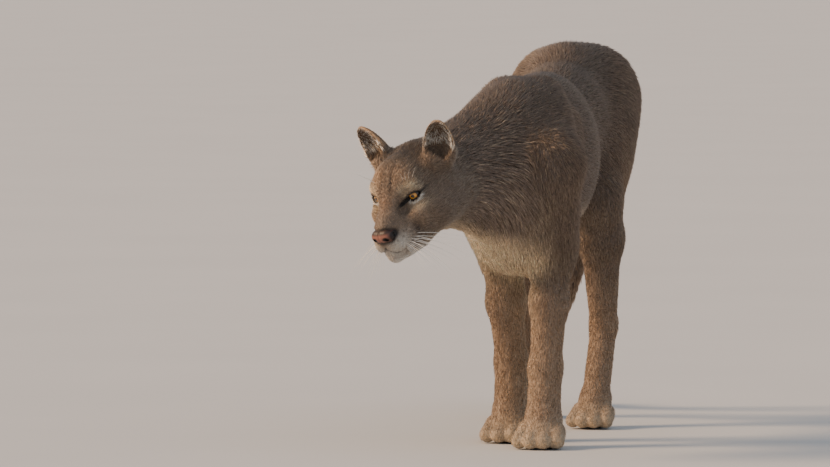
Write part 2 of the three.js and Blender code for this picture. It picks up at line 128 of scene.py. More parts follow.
def paw(joints, size):
    """Four toes side by side in front of a broad pad."""
    knuckle, toe = joints["knuckle"], joints["toe"]
    ahead = (toe - knuckle) * (1, 1, 0)
    ahead = ahead / np.linalg.norm(ahead)
    across = np.array([-ahead[1], ahead[0], 0])

    def spot(forward, aside, height):
        """A place ahead of the knuckle and beside it, at a height over the floor."""
        point = knuckle + ahead * forward + across * aside
        return np.array([point[0], point[1], height])

    muscle("paw", knuckle, spot(20, 0, 26), 32 * size, 28 * size, 14, lie=ahead)
    muscle("paw", spot(16, -18, 22), spot(16, 18, 22), 24 * size, 24 * size, 14, lie=ahead)
    for place in (-1.5, -0.5, 0.5, 1.5):
        reach = 46 + 10 * (1.5 - abs(place)) * size
        muscle("paw", spot(16, place * 18 * size, 30), spot(reach, place * 22 * size, 15),
               17 * size, 16 * size, 7)


def foreleg(side, **joints):
    """The muscles of a foreleg, from its joints' places. `side` is 1 on the left and -1 on the right."""
    j = {name: np.array(place, float) for name, place in joints.items()}
    mid = j["elbow"] + (j["wrist"] - j["elbow"]) * 0.45
    back = np.array([56, side * 12, -60])
    muscle("shoulder", j["blade"], j["shoulder"], 29, 52, 34, lie=(0.7, 0, -0.7))
    muscle("shoulder", j["blade"] + back, j["elbow"] + (10, 0, 90), 40, 45, 40, lie=(0.5, 0, -1))
    muscle("shoulder", j["shoulder"], j["elbow"], 56, 44, 44, lie=(0.4, 0, -1))
    muscle("leg", j["elbow"] + (14, 0, 14), mid, 41, 34, 24)
    muscle("leg", mid, j["wrist"], 34, 29, 20)
    muscle("leg", j["wrist"], j["knuckle"], 31, 32, 16)
    paw(j, 1)


def hindleg(**joints):
    """The muscles of a hind leg, from its joints' places."""
    j = {name: np.array(place, float) for name, place in joints.items()}
    calf = j["knee"] + (j["heel"] - j["knee"]) * 0.35 + (18, 0, 8)
    muscle("thigh", j["hip"], (j["hip"] + j["knee"]) / 2, 80, 74, 60, 0.8, lie=(0.4, 0, -1))
    muscle("thigh", j["hip"], j["knee"] + (14, 0, 6), 86, 54, 50, 0.8, lie=(0.3, 0, -1))
    muscle("thigh", j["hip"] + (40, 0, -20), calf, 62, 39, 50, 0.8, lie=(0.2, 0, -1))
    muscle("leg", j["knee"], calf, 46, 40, 26, lie=(0.3, 0, -1))
    muscle("leg", calf, j["heel"], 39, 26, 24)
    muscle("leg", j["heel"] + (6, 0, 4), j["knuckle"], 26, 27, 14)
    paw(j, 0.92)


foreleg(-1, blade=(14, -42, WITHERS - 34), shoulder=(-108, -74, 500), elbow=(20, -54, 345),
        wrist=(0, -46, 138), knuckle=(-22, -46, 46), toe=(-72, -44, 22))
foreleg(1, blade=(30, 40, WITHERS - 40), shoulder=(-84, 68, 492), elbow=(62, 44, 336),
        wrist=(106, 34, 140), knuckle=(98, 34, 46), toe=(50, 34, 22))
hindleg(hip=(572, -43, 588), knee=(386, -72, 418), heel=(474, -70, 182),
        knuckle=(432, -62, 48), toe=(376, -58, 21))
hindleg(hip=(580, 46, 586), knee=(474, 100, 388), heel=(628, 114, 182),
        knuckle=(632, 108, 48), toe=(578, 106, 21))
print("muscles of trunk and legs:", len(MUSCLES))

# %% The tail
TAIL = np.array([(630, 0, 606), (706, 0, 566), (756, 8, 478), (780, 24, 364),
                 (790, 50, 254), (806, 88, 166), (846, 128, 112), (900, 156, 106)], float)


def smooth_line(points, count):
    """A Catmull-Rom curve through the points: each stretch is the cubic whose slope at a point is half the
    way from the point before it to the one after it. Returns `count` points at even steps along it."""
    ends = np.vstack([2 * points[0] - points[1], points, 2 * points[-1] - points[-2]])
    t = np.linspace(0, len(points) - 1, 40 * len(points))
    i = np.minimum(t.astype(int), len(points) - 2)
    f = (t - i)[:, None]
    p0, p1, p2, p3 = ends[i], ends[i + 1], ends[i + 2], ends[i + 3]
    fine = 0.5 * (2 * p1 + (p2 - p0) * f + (2 * p0 - 5 * p1 + 4 * p2 - p3) * f**2
                  + (3 * p1 - p0 - 3 * p2 + p3) * f**3)
    steps = np.concatenate([[0], np.cumsum(np.linalg.norm(np.diff(fine, axis=0), axis=1))])
    even = np.linspace(0, steps[-1], count)
    return np.column_stack([np.interp(even, steps, fine[:, k]) for k in range(3)])


TAIL_STEPS = 16
TAIL_FLARE, FLARE_SHARE, TAIL_SWELL = 17, 0.22, 3
tail_spots = smooth_line(TAIL, TAIL_STEPS + 1)
tail_share = np.linspace(0, 1, TAIL_STEPS + 1)
tail_radii = TAIL_RADIUS + TAIL_FLARE * np.maximum(0, 1 - tail_share / FLARE_SHARE) ** 2
tail_radii += TAIL_SWELL * np.sin(np.pi * tail_share)
for i in range(TAIL_STEPS):
    soft = 16 if i == 0 else 2
    muscle("tail", tail_spots[i], tail_spots[i + 1], tail_radii[i], tail_radii[i + 1], soft)
print("tail length", round(float(np.linalg.norm(np.diff(tail_spots, axis=0), axis=1).sum())), "mm")

# %% The head's muscles
HEAD_MIDDLE = [
    ("head", (-48, 0, 8), (2, 0, 10), 62, 54, 30), ("face", (6, 0, 30), (30, 0, 16), 36, 27, 26),
    ("face", (38, 0, 6), (94, 0, -19), 25, 17, 18), ("face", (40, 0, -26), (88, 0, -40), 40, 26, 20),
    ("face", (88, 0, -21), (102, 0, -29), 15, 13, 10), ("face", (38, 0, -62), (88, 0, -70), 28, 18, 14),
    ("head", (-80, 0, -44), (24, 0, -52), 44, 34, 30),
]
HEAD_PAIRS = [
    ("face", (-34, 46, -10), (34, 38, -20), 32, 23, 22), ("head", (-66, 44, -36), (-12, 44, -36), 34, 32, 26),
    ("head", (-30, 36, -44), (64, 14, -62), 30, 20, 20), ("face", (66, 21, -42), (91, 14, -48), 20, 18, 8),
    ("face", (14, 20, 36), (26, 38, 28), 16, 12, 14), ("head", (-44, 46, 34), (-30, 54, 44), 26, 20, 20),
]
HEAD_LIE = head_way((-1, 0, 0.1))


def head_muscle(row, mirror=1, away=False):
    """A muscle given in the head's frame, or its mirror image."""
    part, a, b, ra, rb, soft = row
    side = np.array([1, mirror, 1])
    muscle(part, on_head(a * side), on_head(b * side), ra, rb, soft, lie=HEAD_LIE, away=away)


EYE_HOLLOW = ("face", (48, 41, 10), (54, 29, 0), 13, 8, 16)
for row in HEAD_MIDDLE:
    head_muscle(row)
for row in HEAD_PAIRS:
    head_muscle(row)
    head_muscle(row, -1)
for mirror in (1, -1):
    head_muscle(EYE_HOLLOW, mirror, away=True)
print("muscles in all:", len(MUSCLES))

# %% The nose
# a, b, the radii at both and how far it blends, in the head's frame
NOSE = [((105, -9, -25), (105, 9, -25), 10, 10, 6), ((94, 16, -28), (102, 14, -30), 7, 8, 8),
        ((94, -16, -28), (102, -14, -30), 7, 8, 8), ((106, 0, -29), (103, 0, -43), 9, 5, 8)]
nose_muscles = [dict(a=on_head(a), b=on_head(b), ra=ra, rb=rb, soft=soft, flat=1.0, away=False)
                for a, b, ra, rb, soft in NOSE]

# %% Distances
def muscle_distance(m, p):
    """How far points are from a cone with round ends: the distance to the nearest point of the line from a
    to b, less the radius there, which goes evenly from ra to rb."""
    squeeze = np.array([1, 1 / m["flat"], 1])
    a, b, q = m["a"] * squeeze, m["b"] * squeeze, p * squeeze
    e = b - a
    t = np.clip((q - a) @ e / (e @ e), 0, 1)
    return np.linalg.norm(q - a - t[:, None] * e, axis=1) - (m["ra"] + (m["rb"] - m["ra"]) * t)


REACH = 90.0  # a muscle further off than this is left out
FAR = 1e3  # the distance where nothing is near


def close_to(m, p, reach):
    """The numbers of the points near a muscle's own box."""
    spread = max(m["ra"], m["rb"]) + reach
    low, high = np.minimum(m["a"], m["b"]) - spread, np.maximum(m["a"], m["b"]) + spread
    return np.flatnonzero(((p > low) & (p < high)).all(axis=1))


def dip(a, b, soft):
    """How far a soft minimum dips where two distances differ by less than `soft`: the square of what is
    left, over four times soft."""
    h = np.maximum(soft - np.abs(a - b), 0) / soft
    return h * h * soft / 4


def flesh(p, muscles, reach=REACH):
    """The soft minimum of the muscles' distances, below zero inside. A hollow is taken away the same way."""
    d = np.full(len(p), FAR)
    for m in muscles:
        near = close_to(m, p, reach)
        e, here = muscle_distance(m, p[near]), d[near]
        if m["away"]:
            d[near] = np.maximum(here, -e) + dip(here, -e, m["soft"])
        else:
            d[near] = np.minimum(here, e) - dip(here, e, m["soft"])
    return d


def bell(value, middle, width):
    """A bell curve: exp(-((value - middle) / width) squared)."""
    return np.exp(-(((value - middle) / width) ** 2))


def ramp(value):
    """The value, held between nought and one."""
    return np.clip(value, 0, 1)


# %% [markdown]
# ## How deep the coat is
# The solids reach out to the tips of the coat, so the skin lies inside them by the coat's depth. That depth
# differs over the body, from a few millimetres on the face and feet to a centimetre on the chest. Each part
# has its own, and they are mixed by how near each part is, so the skin has no steps.

# %% Parts of the body
# depth of the coat, length of a tuft, how far it stands off in degrees, tufts to a square centimetre
COAT = {
    "trunk": (6.0, 16.0, 16, 19), "chest": (9.0, 28.0, 19, 18), "neck": (6.5, 18.0, 18, 20),
    "shoulder": (5.5, 14.0, 16, 19), "thigh": (6.0, 15.0, 16, 18), "leg": (3.5, 9.0, 13, 20),
    "paw": (2.2, 6.0, 13, 26), "tail": (5.5, 18.0, 17, 20), "head": (4.0, 10.0, 17, 36),
    "face": (2.0, 6.0, 15, 55),
}
DEPTH, LENGTH, STAND, DENSITY = range(4)
PARTS = list(COAT)
SOLID = [m for m in MUSCLES if not m["away"]]
PART_SPREAD, LIE_SPREAD = 14, 18


def nearness(p, spread):
    """A row for each muscle: exp(-how much further off it is than the nearest one / spread)."""
    far = np.full((len(SOLID), len(p)), FAR)
    for row, m in zip(far, SOLID):
        near = close_to(m, p, REACH)
        row[near] = muscle_distance(m, p[near])
    return np.exp(-(far - far.min(axis=0)) / spread)


def part_shares(p):
    """The share of each part at each point: the nearness of its nearest muscle, made to add to one."""
    rows = nearness(p, PART_SPREAD)
    weight = np.array([rows[[m["part"] == part for m in SOLID]].max(axis=0) for part in PARTS])
    return weight / weight.sum(axis=0)


def coat_value(shares, column):
    """One column of the table, mixed by the parts' shares."""
    return np.array([COAT[name][column] for name in PARTS]) @ shares


def lie_of_coat(p):
    """The way the hair lies: each muscle's own way, weighted by its nearness."""
    return nearness(p, LIE_SPREAD).T @ np.array([m["lie"] for m in SOLID])


# %% [markdown]
# ## A surface from a distance
# The flesh is only a number at each point of space. Blender's metaballs could show it, but they can't be
# told how deep a lip is. So the space is cut into cells, each cell that the surface crosses gets one corner,
# and four cells round a crossed edge make a face. The corners then slide along the slope on to the surface.

# %% A net over the surface
def grid_values(field, low, size, cell):
    """The field on a grid. It is worked out in full on every fourth point, and on the others only near the
    surface, because a distance can't change faster than one millimetre in one millimetre."""
    coarse_size = (size + 3) // 4 + 1
    coarse = np.stack(np.meshgrid(*[np.arange(n) * 4 * cell for n in coarse_size], indexing="ij"), -1)
    rough = field(coarse.reshape(-1, 3) + low).reshape(coarse_size)
    near = [np.minimum((np.arange(n) + 2) // 4, coarse_size[k] - 1) for k, n in enumerate(size)]
    value = rough[np.ix_(*near)].copy()
    band = np.argwhere(np.abs(value) < 4.4 * cell)
    value[tuple(band.T)] = field(band * cell + low)
    return value


def net(field, low, high, cell):
    """Corners and four-sided faces of the surface where the field is zero."""
    low = np.asarray(low, float)
    size = np.ceil((np.asarray(high) - low) / cell).astype(int) + 1
    value = grid_values(field, low, size, cell)
    inside = value < 0
    count = sum(inside[i:size[0] - 1 + i, j:size[1] - 1 + j, k:size[2] - 1 + k].astype(np.int8)
                for i in (0, 1) for j in (0, 1) for k in (0, 1))
    cells = np.argwhere((count > 0) & (count < 8))
    number = np.full(size, -1)
    number[tuple(cells.T)] = np.arange(len(cells))
    total, crossings = np.zeros((len(cells), 3)), np.zeros(len(cells))
    for axis in range(3):
        for corner in range(4):
            start = np.zeros(3, int)
            start[(axis + 1) % 3], start[(axis + 2) % 3] = corner & 1, corner >> 1
            step = np.eye(3, dtype=int)[axis]
            a, b = value[tuple((cells + start).T)], value[tuple((cells + start + step).T)]
            crossed = (a < 0) != (b < 0)
            share = np.where(crossed, a / np.where(crossed, a - b, 1), 0)
            total += np.where(crossed[:, None], start + step * share[:, None], 0)
            crossings += crossed
    corners = low + (cells + total / crossings[:, None]) * cell
    faces = []
    for axis in range(3):
        u, v = np.eye(3, dtype=int)[(axis + 1) % 3], np.eye(3, dtype=int)[(axis + 2) % 3]
        head = [slice(1, n - 1) for n in size]
        tail = list(head)
        tail[axis] = slice(2, size[axis])
        change = np.argwhere(inside[tuple(head)] != inside[tuple(tail)]) + 1
        ring = np.stack([number[tuple((change - off).T)] for off in (u + v, v, 0 * u, u)], axis=1)
        outward = inside[tuple(change.T)]
        faces.append(np.where(outward[:, None], ring, ring[:, ::-1]))
    faces = np.vstack(faces)
    return settle(corners, field), faces[(faces >= 0).all(axis=1)]


def slope(field, p, step=0.4):
    """The field's slope by differences over a small step."""
    return np.column_stack([(field(p + e) - field(p - e)) / (2 * step) for e in np.eye(3) * step])


def settle(p, field, passes=3, limit=2.5):
    """Corners moved on to the surface: each step goes down the slope by the distance over its square."""
    for _ in range(passes):
        n = slope(field, p)
        move = n * (field(p) / np.maximum((n * n).sum(axis=1), 0.3))[:, None]
        far = np.linalg.norm(move, axis=1)
        p = p - move * np.minimum(1, limit / np.maximum(far, 1e-9))[:, None]
    return p


# %% [markdown]
# ## The face
# The face needs what the plain muscles can't say: lips, the cleft under the nose, furrows between the brows,
# lids round the eyes and the thin cup of each ear. Each is a small amount added to the distance, which moves
# the surface in by that much.

# %% The line of the mouth
def thinner(m):
    """A muscle without the coat on it. A hollow grows by the coat's depth instead."""
    depth = COAT[m["part"]][DEPTH] * (-1 if m["away"] else 1)
    return dict(m, ra=m["ra"] - depth, rb=m["rb"] - depth)


THIN = [thinner(m) for m in MUSCLES]
THIN_HEAD = [m for m in THIN if m["part"] in ("trunk", "chest", "neck", "shoulder", "head", "face")]
RAY_LENGTH, RAY_STEP = 140, 0.5


def head_distance(p):
    """The flesh near the head, without the coat."""
    return flesh(p, THIN_HEAD)


def leaves_face(start, ways):
    """Where rays from a point inside the head leave it: the first of many steps that is outside."""
    steps = np.arange(0, RAY_LENGTH, RAY_STEP)[:, None]
    paths = [on_head(start) + steps * head_way(way) for way in ways]
    return np.array([path[np.argmax(head_distance(path) > 0)] for path in paths])


MOUTH_FROM = (54, 0, -38)
LIP_TURNS = np.array([(0.96, 0, -0.24), (0.94, 0.17, -0.38), (0.8, 0.5, -0.56), (0.55, 0.85, -0.46),
                      (0.32, 1, -0.4)])
mouth_left = smooth_line(leaves_face(MOUTH_FROM, LIP_TURNS), 40)
mouth_right = smooth_line(leaves_face(MOUTH_FROM, LIP_TURNS * (1, -1, 1)), 40)
cleft = smooth_line(np.vstack([on_head((106, 0, -38)), on_head((104, 0, -46)), mouth_left[0]]), 16)
print("mouth corner, head frame:", in_head(mouth_left[-1]).round(1))
LINE_REACH = 12


def to_line(p, *lines):
    """The distance from points to the nearest point of finely stepped lines, as far as 12 mm round them."""
    best = np.full(len(p), FAR)
    for line in lines:
        low, high = line.min(axis=0) - LINE_REACH, line.max(axis=0) + LINE_REACH
        near = np.flatnonzero(((p > low) & (p < high)).all(axis=1))
        found = np.full(len(near), FAR)
        for spot in line:
            found = np.minimum(found, ((p[near] - spot) ** 2).sum(axis=1))
        best[near] = np.minimum(best[near], np.sqrt(found))
    return best


# %% The cups of the ears
EAR_SPREAD, EAR_HEIGHT, EAR_WIDTH, EAR_DEPTH, EAR_FOOT = 60.0, 75.0, 60.0, 19.0, -24
# the coat's depth, and how far in from the ear's outline the hollow starts at the sides and at the top
EAR_INSET, HOLLOW_SIDE, HOLLOW_TOP = 1.6, 4.4, 4.5


def ear_frame(mirror):
    """Root, way up, way it faces and way across of an ear."""
    root = on_head((-44, EAR_SPREAD * mirror, 42))
    up = head_way((0.03, 0.32 * mirror, 0.95))
    out = head_way((0.95, 0.28 * mirror, 0.1))
    face = out - up * (out @ up)
    face = face / np.linalg.norm(face)
    return root, up, face, np.cross(up, face)


def bowl_distance(q, half_width, half_depth, low, high, ahead):
    """A stretched ball: q is across, ahead and up. Its width and depth narrow evenly with height. What is
    left of the ball's own equation, times its depth, serves as a distance."""
    h = np.clip((q[:, 2] - low) / (high - low), -0.3, 1.3)
    width, depth = half_width * (1.08 - 0.26 * h), half_depth * (1.25 - 0.5 * h)
    stretched = np.column_stack([q[:, 0] / width, (q[:, 1] - ahead) / depth, 2 * h - 1])
    return (np.linalg.norm(stretched, axis=1) - 1) * depth


def ear_coordinates(p, mirror):
    """How far across, ahead and up from the ear's root points are."""
    root, up, face, across = ear_frame(mirror)
    return (p - root) @ np.column_stack([across, face, up])


def ear_bowls(p, mirror):
    """The bowl of the ear's outside, and the smaller one set further forward that is its hollow."""
    q = ear_coordinates(p, mirror)
    outer = bowl_distance(q, EAR_WIDTH / 2 - EAR_INSET, EAR_DEPTH - EAR_INSET, EAR_FOOT,
                          EAR_HEIGHT - EAR_INSET, 0)
    inner = bowl_distance(q, EAR_WIDTH / 2 - HOLLOW_SIDE, 17, -6, EAR_HEIGHT - HOLLOW_TOP, 6)
    return outer, inner


def ear_distance(p, mirror):
    """The cup: one bowl less the other."""
    outer, inner = ear_bowls(p, mirror)
    return np.maximum(outer, -inner)


# %% The lids
GAZE = {1: head_way((1, 0.3, 0.02)), -1: head_way((1, -0.3, 0.02))}
EYE_OUT = {1: head_way((-0.3, 1, 0)), -1: head_way((-0.3, -1, 0))}
EYE_UP = head_way((0, 0, 1))
EYE_SPOT = {side: on_head(EYE_AT * (1, side, 1)) for side in (1, -1)}
HALF_EYE = 14.0
LID_THICKNESS, LID_BLEND = 2.2, 9


def lid_heights(u):
    """How high the upper and the lower lid stand over the middle of the eye at a share u from the inner
    corner, -1, to the outer one, 1. Both are arches on a slanted line, and the upper one is fuller and flat
    on top."""
    slant = 2.6 * u
    arch = np.sqrt(np.maximum(1 - u * u, 0))
    return slant + 6.2 * arch**1.1, slant - 6.6 * arch**1.2


def eye_coordinates(p, side):
    """How far out, up and ahead from the middle of the eye points are."""
    q = p - EYE_SPOT[side]
    return q @ EYE_OUT[side], q @ EYE_UP, q @ GAZE[side]


def lids(p, d, side):
    """The face drawn over the ball of the eye as a shell, with the slit between the lids cut out of it."""
    across, above, ahead = eye_coordinates(p, side)
    ball = np.linalg.norm(p - EYE_SPOT[side], axis=1) - (EYE_RADIUS + LID_THICKNESS)
    d = np.minimum(d, ball) - dip(d, ball, LID_BLEND)
    top, bottom = lid_heights(np.clip(across / HALF_EYE, -1, 1))
    slit = np.maximum(np.maximum(above - top, bottom - above), np.abs(across) - HALF_EYE)
    return np.maximum(d, np.where(ahead > 2, -slit, -40))


# %% The distance with all of the face
def face_grooves(q):
    """How far the surface moves in, from points in the head's frame: furrows between the brows, a dip beside
    the nose, hollows under the cheek bones, and the swell of the brows, pads and bridge, each a bell
    curve."""
    x, y, z = q[:, 0], np.abs(q[:, 1]), q[:, 2]
    furrow = 2.0 * bell(y, 9.5, 3.2) * bell(z, 44, 16) * (x > 0)
    between = 1.4 * bell(y, 0, 3.5) * bell(z, 50, 16) * (x > 0)
    brow = -2.6 * bell(y, 27, 12) * bell(z, 30, 7) * bell(x, 34, 18)
    stop = 2.0 * bell(y, 22, 7) * bell(x, 52, 14) * bell(z, 4, 13)
    cheek = 2.2 * bell(x, 36, 16) * bell(z, -22, 10) * bell(y, 52, 14)
    pad = -1.8 * bell(x, 84, 11) * bell(y, 19, 9) * bell(z, -44, 10)
    bridge = -1.6 * bell(y, 0, 8) * bell(x, 66, 26) * bell(z, 8, 16)
    return furrow + between + brow + stop + cheek + pad + bridge


def skin_distance(p):
    """The body's skin: the flesh moved in by the coat's depth."""
    return flesh(p, THIN)


def off_nose(p):
    """How far points are outside the nose leather, as far as 14 mm."""
    return np.maximum(flesh(p, nose_muscles, 14), 0)


ABOVE_LIP = np.array([0, 0, 5])
EAR_BLEND = 7


def head_skin_distance(p):
    """The head's skin: the flesh, less the grooves of face, mouth, cleft and nose, with a swell over the
    lips, then lids and ears."""
    d = head_distance(p) + face_grooves(in_head(p))
    d = d + 4.4 * bell(to_line(p, mouth_left[2:], mouth_right[2:]), 0, 2.4)
    d = d + 3.0 * bell(to_line(p, cleft), 0, 2.2) + 2.4 * bell(off_nose(p), 0, 3)
    d = d - 0.9 * bell(to_line(p, mouth_left[6:] + ABOVE_LIP, mouth_right[6:] + ABOVE_LIP), 0, 3.4)
    for side in (1, -1):
        d = lids(p, d, side)
        outer, inner = ear_bowls(p, side)
        d = np.maximum(np.minimum(d, outer) - dip(d, outer, EAR_BLEND), -inner)
    return d


# %% [markdown]
# ## The skin
# The trunk and legs are plain enough for a net of a few millimetres, but the face needs one three times
# finer. Both nets lie on the same surface. They are parted by the same plane behind the ears and stitched
# there, so the skin is one closed piece from nose to tail.

# %% Meshes from arrays
def to_file(corners):
    """Corners of the animal's frame in metres, as the flat list of floats that a mesh takes."""
    return ((np.asarray(corners) + SHIFT) * MM).astype(np.float32).ravel()


def make_mesh(name, corners, faces):
    """A mesh from corners in millimetres of the animal's frame, and faces of three or four corners."""
    mesh = bpy.data.meshes.new(name)
    mesh.vertices.add(len(corners))
    mesh.vertices.foreach_set("co", to_file(corners))
    mesh.loops.add(faces.size)
    mesh.loops.foreach_set("vertex_index", faces.astype(np.int32).ravel())
    mesh.polygons.add(len(faces))
    starts = np.arange(0, faces.size, faces.shape[1], dtype=np.int32)
    mesh.polygons.foreach_set("loop_start", starts)
    mesh.update(calc_edges=True)
    mesh.validate()
    return mesh


def add_object(name, mesh, material, smooth=True):
    """An object at the origin that rides on the body."""
    piece = bpy.data.objects.new(name, mesh)
    bpy.context.scene.collection.objects.link(piece)
    mesh.materials.append(material)
    if smooth:
        mesh.polygons.foreach_set("use_smooth", np.ones(len(mesh.polygons), bool))
    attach(piece, "root")
    return piece


def read_rows(items, what, width, kind):
    """A number or a few for each item of a mesh, as rows."""
    flat = np.empty(len(items) * width, kind)
    items.foreach_get(what, flat)
    return flat.reshape(-1, width)


# %% Body and head nets
BODY_CELL, HEAD_CELL = 6.6, 2.1
low = np.array([-470.0, -210, -12])
high = np.array([945.0, 215, 730])
body_corners, body_faces = net(skin_distance, low, high, BODY_CELL)
body_corners[:, 2] = np.maximum(body_corners[:, 2], 0.6)
print("body net:", len(body_corners), "corners")
head_box = on_head([(x, y, z) for x in (-118, 125) for y in (-112, 112) for z in (-112, 126)])
head_corners, head_faces = net(head_skin_distance, head_box.min(axis=0), head_box.max(axis=0), HEAD_CELL)
print("head net:", len(head_corners), "corners")

# %% One skin
HEAD_PLANE, SEAM = -88.0, 3.0  # where the nets part, and the gap that is left between them, in millimetres
HEAD_ABOVE, HEAD_BEFORE = 0.345, (-130 + SHIFT[0]) * MM  # metres


def cut_mesh(corners, faces, keep_head):
    """A bmesh of the net on one side of the plane behind the ears. The plane goes on down through the paws,
    so only what is high enough and far enough forward to be head is cut."""
    bm = bmesh.new()
    mesh = make_mesh("cut", corners, faces)
    bm.from_mesh(mesh)
    bpy.data.meshes.remove(mesh)
    plane = HEAD_PLANE + SEAM / 2 * (1 if keep_head else -1)
    for vert in bm.verts:
        vert.tag = keep_head or (vert.co.z > HEAD_ABOVE and vert.co.x < HEAD_BEFORE)
    near = [vert for vert in bm.verts if vert.tag]
    for kind in (bm.edges, bm.faces):
        near += [piece for piece in kind if all(vert.tag for vert in piece.verts)]
    bmesh.ops.bisect_plane(bm, geom=near, plane_co=(on_head((plane, 0, 0)) + SHIFT) * MM, plane_no=forward,
                           clear_inner=keep_head, clear_outer=not keep_head)
    return bm


body_part = cut_mesh(body_corners, body_faces, False)
head_part = cut_mesh(head_corners, head_faces, True)
joined = bpy.data.meshes.new("skin")
head_part.to_mesh(joined)
body_part.from_mesh(joined)


def connected(start, neighbours):
    """Groups of numbers that hang together, largest first. `neighbours` gives the numbers next to one."""
    left_over, groups = dict.fromkeys(start), []
    while left_over:
        group, fresh = [], [left_over.popitem()[0]]
        while fresh:
            number = fresh.pop()
            group.append(number)
            touching = [other for other in neighbours(number) if other in left_over]
            for other in touching:
                left_over.pop(other, None)
            fresh += dict.fromkeys(touching)
        groups.append(sorted(group))
    return sorted(groups, key=len, reverse=True)


def drop_scraps(bm):
    """Only the largest piece that hangs together is kept."""
    bm.verts.index_update()
    bm.verts.ensure_lookup_table()

    def beside(number):
        """The corners at the other ends of a corner's edges."""
        vert = bm.verts[number]
        return [edge.other_vert(vert).index for edge in vert.link_edges]

    pieces = connected(range(len(bm.verts)), beside)
    scraps = [bm.verts[number] for piece in pieces[1:] for number in piece]
    bmesh.ops.delete(bm, geom=scraps, context="VERTS")
    return len(scraps)


def rims_of(bm):
    """The loops of edges that have one face only, longest first."""
    bm.edges.index_update()
    bm.edges.ensure_lookup_table()

    def beside(number):
        """The edges that meet an edge at its ends."""
        return [edge.index for vert in bm.edges[number].verts for edge in vert.link_edges]

    rim = [edge.index for edge in bm.edges if len(edge.link_faces) == 1]
    return [[bm.edges[number] for number in loop] for loop in connected(rim, beside)]


TOES_BELOW = 0.115  # metres: the paws get a net of half the size
rims = rims_of(body_part)
bmesh.ops.bridge_loops(body_part, edges=rims[0] + rims[1])
if len(rims) > 2:
    bmesh.ops.holes_fill(body_part, edges=[edge for loop in rims[2:] for edge in loop])
print("scraps dropped:", drop_scraps(body_part), "corners")
for face in body_part.faces:
    face.tag = face.calc_center_median().z < TOES_BELOW
toes = [edge for edge in body_part.edges if any(face.tag for face in edge.link_faces)]
bmesh.ops.subdivide_edges(body_part, edges=toes, cuts=1, use_grid_fill=True)
bmesh.ops.recalc_face_normals(body_part, faces=body_part.faces)
bmesh.ops.triangulate(body_part, faces=[face for face in body_part.faces if len(face.verts) != 4])
body_part.to_mesh(joined)
open_edges = sum(len(edge.link_faces) % 2 for edge in body_part.edges)
print("skin:", len(joined.vertices), "corners,", open_edges, "open edges")

# %% Paws settled
PAWS_BELOW, PAWS_BEHIND, SOLE = 118, -200, 0.5
skin_spots = read_rows(joined.vertices, "co", 3, np.float32) / MM - SHIFT
low_down = (skin_spots[:, 2] < PAWS_BELOW) & (skin_spots[:, 0] > PAWS_BEHIND)
skin_spots[low_down] = settle(skin_spots[low_down], skin_distance, 2)
skin_spots[:, 2] = np.maximum(skin_spots[:, 2], SOLE)
joined.vertices.foreach_set("co", to_file(skin_spots))
joined.update()

# %% [markdown]
# ## Colour
# A cougar is tawny above and cream below, with dark backs to its ears, a dark mark behind the whisker pads,
# a dark tip to its tail, and black corners to its eyes. The photo shows it mostly in shade, so the back is a
# grey brown. The colour is one function of a place on the body, and skin and coat both ask it, so they
# agree.

# %% Colours
def linear(hex_colour):
    """An sRGB hex colour as linear red, green and blue."""
    value = np.array([int(hex_colour[i:i + 2], 16) for i in (1, 3, 5)]) / 255
    return np.where(value <= 0.04045, value / 12.92, ((value + 0.055) / 1.055) ** 2.4)


TAWNY, BACK, FLANK, SAND = linear("#8d7966"), linear("#645346"), linear("#7e6e61"), linear("#bb9c7e")
CREAM, WHITE, DARK, BLACK = linear("#e4cfae"), linear("#f6f0e4"), linear("#33261f"), linear("#0c0807")
RUST, GREY, CROWN = linear("#a0714f"), linear("#766961"), linear("#54463a")
# painted light and shade on the ears: the tan rim is partly painted sunlight, the dark hollow is painted
# shade
EAR_RIM_TAN_AND_SUNLIT, EAR_HOLLOW_SHADE = linear("#d8ae82"), linear("#3a2a20")
# in the head's frame: middle, radii, colour, strength
FACE_MARKS = [
    ((-34, 0, 66), (54, 46, 34), CROWN, 1.0), ((28, 20, 46), (20, 13, 16), SAND, 0.8),
    ((-24, 58, -24), (40, 24, 34), GREY, 0.75), ((60, 0, 12), (30, 9, 16), RUST, 0.4),
    ((84, 13, -12), (20, 8, 10), BACK, 0.75), ((56, 26, -8), (12, 6, 14), BACK, 0.55),
    ((38, 40, -22), (18, 15, 13), SAND, 0.9), ((36, 38, 31), (14, 13, 6), CREAM, 0.8),
    ((34, 44, -8), (16, 14, 6), CREAM, 0.85), ((46, 25, 24), (7, 5, 10), CREAM, 0.6),
    ((86, 20, -48), (22, 15, 13), WHITE, 1.1), ((96, 8, -56), (12, 12, 14), WHITE, 1.1),
    ((84, 0, -84), (32, 28, 14), WHITE, 1.1), ((50, 20, -86), (30, 26, 12), WHITE, 0.7),
    ((58, 37, -40), (8, 9, 13), DARK, 0.7), ((16, 40, -84), (36, 26, 16), CREAM, 0.6),
    ((-70, 0, -92), (60, 50, 20), CREAM, 0.8),
]


def blend(base, colour, share):
    """The base colours, moved to a colour by its share of the way."""
    return base + (colour - base) * ramp(share)[:, None]


def blend_all(base, marks):
    """One colour everywhere, with marks laid over it in turn, each a colour and its share."""
    colours = np.tile(base, (len(marks[0][1]), 1))
    for colour, share in marks:
        colours = blend(colours, colour, share)
    return colours


